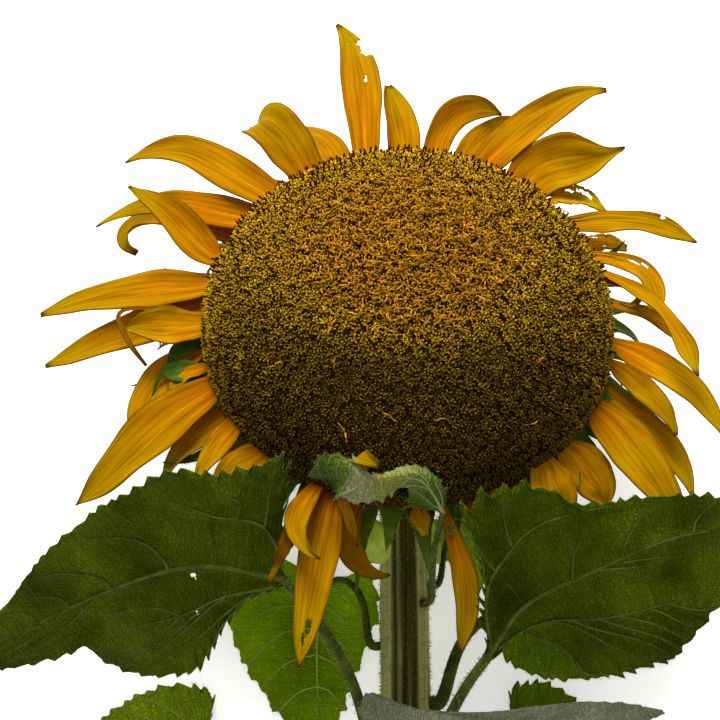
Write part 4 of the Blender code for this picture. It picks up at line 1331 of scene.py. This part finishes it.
def leafStalk(leaf, end, stemRadius, bladeRadius):
    # centres and radii of a leaf's stalk, from inside the stem to the blade's base, end
    y, around = leaf["stem"]
    around = math.radians(around)
    radial = Vector((math.cos(around), 0.0, math.sin(around)))
    straight = neckStart - stem["cutEnd"]
    growth = (stem["cutRadius"] - stem["neckRadius"]) * (neckStart - y) / straight
    radius = stem["neckRadius"] + growth
    foot = Vector((0.0, y, radius)) + radial * (radius - 1.0)
    petiole = [Vector(point) for point in leaf["petiole"]]
    knots = [foot, foot + radial * leafBuild["stalkOut"], *petiole, end]
    rows = leafBuild["stalkRows"]
    path = [onPath(knots, row / rows) for row in range(rows + 1)]
    for _ in range(leafBuild["stalkSmooth"]):
        path[1:-1] = [(a + 2 * b + c) / 4 for a, b, c in zip(path, path[1:], path[2:])]
    radii = [bladeRadius + (stemRadius - bladeRadius) * (1 - row / rows) ** 1.5
             for row in range(rows + 1)]
    return path, radii


def makeLeaf(name, leaf, finishes, number):
    look = leaf["look"]
    lie, edge, outlines, length = bladeSurface(leaf)
    rng = random.Random(leafBuild["seed"] + number)
    phase = rng.uniform(0, anyTurn)
    longest = max(
        sum((edge((step + 1) / 60, half) - edge(step / 60, half)).length for step in range(60))
        for half in (0, 1))
    rows = round(longest / leafBuild["rowLength"])
    rows = max(leafBuild["fewestRows"], min(leafBuild["mostRows"], rows))
    edges = [[edge(row / rows, half) for row in range(rows + 1)] for half in (0, 1)]
    spots = [[onPath(outlines[half], row / rows) for row in range(rows + 1)] for half in (0, 1)]
    middles = [lie(row / rows) for row in range(rows + 1)]
    spacing, *depths = look["teeth"]
    depths = (depths * 2)[:2]
    runs, teeth = [], []
    for points in edges:
        run = [0.0]
        for a, b in zip(points, points[1:]):
            run.append(run[-1] + (b - a).length)
        runs.append(run)
        teeth.append(toothMarks(run[-1], spacing, depths[len(teeth)], rng))

    veins = look.get("veins") or [ordinaryVeins(outline) for outline in outlines]
    tree = veinTree(veins, length)

    def tooth(half, row):
        marks, heights = teeth[half]
        run = min(runs[half][row], marks[-1] - 0.001)
        pick = bisect.bisect_right(marks, run) - 1
        place = (run - marks[pick]) / (marks[pick + 1] - marks[pick])
        rise = place ** 1.5 if place < 0.85 else (1 - place) / 0.15 * 0.78
        return heights[pick] * rise

    def place(p, t, onVein=False):
        half = int(t > 0)
        row = p * rows
        low = min(int(row), rows - 1)
        centre, _, _, normal = middles[low]
        centre = centre.lerp(middles[low + 1][0], row - low)
        rim = edges[half][low].lerp(edges[half][low + 1], row - low)
        spot = spots[half][low].lerp(spots[half][low + 1], row - low)
        far = abs(t)
        flat = Vector(((p + (spot.x - p) * far) * length, spot.y * far * (2 * half - 1), 0.0))
        away = 0.0 if onVein else tree.find(flat)[2]
        width = max(1.0, (rim - centre).length)
        out = tooth(half, low) * smoothStep(0, 10, width) * far ** 9
        push = out - 0.3 * depths[half] * far ** 9
        point = centre.lerp(rim, far) + (rim - centre) / width * push
        point += (edges[half][low + 1] - edges[half][low]).normalized() * out * 0.7
        hollow = (1 - math.exp(-(away / leafBuild["hollow"]) ** 2)) * smoothStep(0, 14, width)
        pillow = noise.noise(flat / leafBuild["quiltSize"] + Vector((0, 0, 7 * number)))
        wave = math.sin(14 * p + phase + 2 * half) + 1.5 * noise.noise(flat / 16)
        lift = look["wave"] * far ** 2 * wave
        lift += look.get("curl", (0, 0))[half] * far ** 3
        lift -= hollow * (look["puff"][half] + look["quilt"] * pillow)
        for side, share, distance, radius, depth in look.get("dips", ()):
            gap = (flat - Vector((share * length, distance * (2 * side - 1), 0.0))).length
            lift -= depth * math.exp(-(gap / radius) ** 2)
        point += normal * lift
        point.z = max(point.z, leafBuild["clearance"])
        return point, flat, away

    blade = newShape()
    spread = []

    def lay(across, along):
        spread.append(place(along, 2 * across - 1))
        return spread[-1][0]

    verts = layGrid(blade, leafBuild["columns"], rows, lay)
    blade.verts.index_update()
    flats = {vert.index: (flat, away) for vert, (_, flat, away) in zip(verts, spread)}
    uv = blade.loops.layers.uv.verify()
    for face in blade.faces:
        for loop in face.loops:
            loop[uv].uv = flats[loop.vert.index][0].xy / leafBuild["uvUnit"]
    setLayer(blade, "besideVein", lambda vert: math.exp(
        -(flats[vert.index][1] / leafBuild["paleBeside"]) ** 2))
    for side, share, distance, size in look.get("holes", ()):
        middle = Vector((share * length, distance * (2 * side - 1), 0.0))
        eaten = [face for face in blade.faces
                 if (flats[face.verts[0].index][0] - middle).length < size]
        bmesh.ops.delete(blade, geom=eaten, context="FACES")
    bladeFinish, ribFinish = finishes[look["finish"]]
    title = "".join(part.capitalize() for part in name.split("_"))
    finishPiece(title + "Blade", blade, [bladeFinish], [name], leafBuild["thickness"])

    # the stalk, which runs on as the midrib
    stalkStem, stalkBlade = look.get("stalk", leafBuild["stalk"])
    stalk, radii = leafStalk(leaf, middles[0][0], stalkStem, stalkBlade)
    ribSize = look.get("ribs", 1.0)
    hairs = bmesh.new()
    roots = tubeRoots(stalk, radii, round(leafBuild["stalkHairs"] * stalkStem ** 1.5), rng)
    growHairs(hairs, roots, leafBuild["stalkHairLength"], rng)
    ribs = newShape()
    layPathTube(ribs, stalk, radii, leafBuild["stalkSides"], leafBuild["stalkGroove"])
    stalkFaces = len(ribs.faces)
    midrib, midribRadii = [stalk[-2]], [stalkBlade * 0.98]
    for row in range(rows - 3):
        midrib.append(middles[row][0] - middles[row][3] * 0.5)
        taper = (leafBuild["midrib"] * ribSize - leafBuild["ribTip"]) * (1 - row / rows) ** 1.2
        swelling = leafBuild["ribBase"] * ribSize * math.exp(-row / 6)
        midribRadii.append(leafBuild["ribTip"] + taper + swelling)
    layPathTube(ribs, midrib, midribRadii, leafBuild["midribSides"])

    def locate(half, share, distance):
        # p and t of a spot on the blade given like those of the outline
        def miss(row):
            p, spot = row / rows, spots[half][row]
            reached = p + (spot.x - p) * distance / max(distance, spot.y)
            return abs(reached - share) + (0.2 if spot.y < distance else 0.0)

        best = min(range(rows), key=miss)
        far = min(0.97, max(0.002, distance / max(1.0, spots[half][best].y)))
        return best / rows, far * (2 * half - 1)

    for half in (0, 1):
        for thick, *points in veins[half]:
            flat = [Vector((*point, 0.0)) for point in points]
            steps = leafBuild["veinSteps"]
            path = []
            for step in range(steps + 1):
                spot = onPath(flat, step / steps)
                path.append(place(*locate(half, spot.x, max(0.0, spot.y)), True)[0])
            for _ in range(3):
                path[1:-1] = [(a + b + c) / 3 for a, b, c in zip(path, path[1:], path[2:])]
            size = leafBuild["vein"] * ribSize * thick
            veinRadii = [0.1 + size * (1 - step / steps) ** 0.7 for step in range(steps + 1)]
            layPathTube(ribs, path, veinRadii, leafBuild["veinSides"])
    ribs.faces.ensure_lookup_table()
    for face in ribs.faces[stalkFaces:]:
        face.material_index = 1
    keepAbove(ribs)
    bmesh.ops.recalc_face_normals(ribs, faces=ribs.faces)
    finishPiece(title + "Ribs", ribs, [stalkFinish, ribFinish])
    for _ in range(leafBuild["edgeHairs"]):
        half, p = rng.randrange(2), rng.uniform(0.02, 0.98)
        tip = place(p, 2 * half - 1)[0]
        way = (tip - middles[round(p * rows)][0]).normalized()
        growHairs(hairs, [(tip, way)], leafBuild["edgeHairLength"], rng)
    keepAbove(hairs)
    finishPiece(title + "Hairs", hairs, [hairPale])


def leafTissue(name, blade, patch, rib, through):
    # a rough dull leaf seen from beneath: ladders of small veins between the large ones, a finer
    # net inside them, and broad darker and yellower patches
    made, tree = newMaterial(name)
    place = addNode(tree, "TexCoord").outputs["Object"]
    uv = addNode(tree, "UVMap", uv_map="UVMap")
    mottle = addNode(tree, "TexNoise", {
        "Vector": place, "Scale": grainScale(tissue["mottle"]), "Detail": 5.0, "Roughness": 0.6})
    if name.startswith("curled"):
        along = addNode(tree, "SeparateXYZ", {0: uv})
        ground = addNode(tree, "ValToRGB", {0: along}, stops=curledBands)
    else:
        ground = addNode(tree, "ValToRGB", {0: mottle}, stops=[(0.3, blade), (0.75, patch)])
    unit = leafBuild["uvUnit"]
    # at a scale of 1 the wave's bands lie a tenth of pi apart
    ladder = addNode(tree, "TexWave", {
        "Vector": uv, "Scale": math.pi / 10 * unit / tissue["rungs"], "Distortion": 3.5,
        "Detail": 2.0, "Detail Scale": 1.6})
    rung = addNode(tree, "MapRange", {0: ladder.outputs["Fac"], 1: 0.8, 2: 1.0, 3: 0.0, 4: 1.0})
    warp = addNode(tree, "TexNoise", {"Vector": uv, "Scale": unit / tissue["warp"], "Detail": 1.0})
    moved = addNode(tree, "VectorMath", {0: warp.outputs["Color"], 1: (0.05, 0.05, 0.0)},
                    operation="MULTIPLY")
    bent = addNode(tree, "VectorMath", {0: uv, 1: moved}, operation="ADD")
    fine = addNode(tree, "TexVoronoi", {"Vector": bent, "Scale": unit / tissue["cells"]},
                   feature="DISTANCE_TO_EDGE")
    line = addNode(tree, "MapRange", {0: fine, 1: 0.0, 2: 0.14, 3: 0.5, 4: 0.0})
    net = addNode(tree, "Math", {0: rung, 1: line}, operation="MAXIMUM")
    netShare = addNode(tree, "Math", {0: net, 1: 0.22}, operation="MULTIPLY")
    beside = addNode(tree, "Attribute", attribute_name="besideVein").outputs["Fac"]
    share = addNode(tree, "Math", {0: beside, 1: 0.22, 2: netShare}, operation="MULTIPLY_ADD")
    netted = addNode(tree, "Mix", {0: share, 6: ground, 7: rib}, data_type="RGBA")
    pillow = addNode(tree, "Math", {0: fine, 1: -0.6, 2: net}, operation="MULTIPLY_ADD")
    height = addNode(tree, "Math", {0: mottle, 1: 1.5, 2: pillow}, operation="MULTIPLY_ADD")
    bump = addNode(tree, "Bump", {
        "Strength": 1.0, "Distance": tissue["relief"] * mm, "Height": height})
    clouds = addNode(tree, "TexNoise", {
        "Vector": place, "Scale": grainScale(tissue["clouds"]), "Detail": 2.0})
    cloud = addNode(tree, "MapRange", {0: clouds, 1: 0.35, 2: 0.65, 3: 0.74, 4: 1.2})
    toned = addNode(tree, "HueSaturation", {"Value": cloud, "Color": netted})
    thinTissue(tree, toned, through, 0.7, bump, 0.05, patch)
    return made


stalkFinish = greenSkin("leafStalk", "#2f3806", "#5d661c", leafBuild["stalkGrain"], sheen=0.0)
leafFinishes = {
    kind: (leafTissue(kind + "LeafTissue", *colours),
           greenSkin(kind + "LeafRib", colours[0], colours[2], leafBuild["ribGrain"], sheen=0.0))
    for kind, colours in leafColours.items()}
for leafNumber, (leafName, leafShape) in enumerate(leaves.items()):
    makeLeaf(leafName, leafShape, leafFinishes, leafNumber)
print("leaves made")

# small pieces round the head, which the frame leaves out

stripBuild = dict(
    columns=12, rows=30, thickness=0.5, wave=0.06, shade=-0.2, dry=0.45, grain=6.25,
    brightGrain=7.14)
# points along a strip, its widths, which way its face looks, its cup, and its finish
strips = {
    "bractLeft": (
        ((-93, -31, 80), (-100, -31, 84), (-108, -30, 86), (-114, -29, 85), (-118, -30, 83),
         (-121, -34, 81), (-123, -40, 79)),
        (8, 12, 13, 11, 3, 1.2, 0.5), (0, 0.2, 1), 0.2, "leafy"),
    "bractLeftUpper": (
        ((-96, -10, 78), (-104, -14, 83), (-111, -19, 85), (-116, -27, 83)),
        (6, 8, 7, 1), (0.3, 0, 1), 0.2, "leafy"),
    "bractRight": (
        ((62, -66, 86), (70, -73, 94), (75, -83, 98), (75, -91, 100), (70, -97, 101),
         (64, -99, 100)),
        (8, 10, 7, 4, 2, 0.6), (0.5, -0.3, 1), 0.3, "leafy"),
    "strapRight": (
        ((97, 22, 74), (106, 19, 80), (113, 14, 83), (115, 9, 84), (111, 6, 83), (106, 8, 82)),
        (3, 4, 3.4, 3, 2.4, 0.8), (0.2, 0, 1), 0.3, "withered"),
    "strapLeft": (
        ((-112, 2, 82), (-132, 4, 84), (-141, 0, 84), (-135, -14, 84), (-126, -26, 84)),
        (1.6, 1.8, 2.0, 2.2, 0.8), (0.2, 0, 1), 0.3, "withered"),
    "bractNeckBright": (
        ((-25, -97, 76), (-24, -103, 75), (-19, -109, 71), (-14, -115, 64), (-12, -118, 60)),
        (8, 18, 22, 14, 1), (-0.2, -0.5, 1), 0.12, "bright"),
    "bractNeckDark": (
        ((-32, -88, 98), (-29, -96, 93), (-30, -106, 86), (-32, -114, 79)),
        (10, 12, 11, 4), (-0.4, -0.6, 1), 0.3, "leafy"),
    "bractNeckPale": (
        ((3, -88, 72), (6, -96, 69), (9, -104, 63), (13, -111, 56), (16, -116, 50)),
        (5, 10, 10, 7, 0.6), (0.4, -0.5, 1), 0.3, "bright"),
    "bractNeckRight": (
        ((16, -86, 84), (22, -93, 80), (22, -103, 73), (21, -112, 66), (22, -118, 60)),
        (6, 7, 5, 3, 0.5), (0.3, -0.6, 1), 0.4, "leafy"),
}


def makeStrip(name, points, widths, facing, hollow, kind):
    line = [Vector(point) for point in points]
    face = Vector(facing).normalized()

    def place(across, along):
        t = 2 * across - 1
        ahead = onPath(line, min(1.0, along + 0.02)) - onPath(line, max(0.0, along - 0.02))
        side = ahead.cross(face).normalized()
        half = max(0.2, onPath(widths, along) / 2)
        up = hollow * half * t * t + stripBuild["wave"] * half * math.sin(9 * t + 5 * along)
        return onPath(line, along) + side * half * t + face * up

    shape = newShape()
    layGrid(shape, stripBuild["columns"], stripBuild["rows"], place)
    for layer in ("shade", "dry"):
        setLayer(shape, layer, lambda vert: stripBuild[layer])
    finishPiece(name, shape, [stripFinishes[kind]],
                thickness=stripBuild["thickness"])


stripFinishes = {
    "leafy": greenSkin(
        "smallBractGreen", "#2f4206", "#56700e", stripBuild["grain"], sheen=0.1, through=0.25),
    # painted light: these bracts are coloured brighter, standing for light shining through them
    "bright": greenSkin(
        "brightBractGreen", "#a9bf2a", "#d8e070", stripBuild["brightGrain"], through=0.4),
    "withered": petalFinish}
for stripName, stripShape in strips.items():
    makeStrip(stripName, *stripShape)
print("small pieces made")
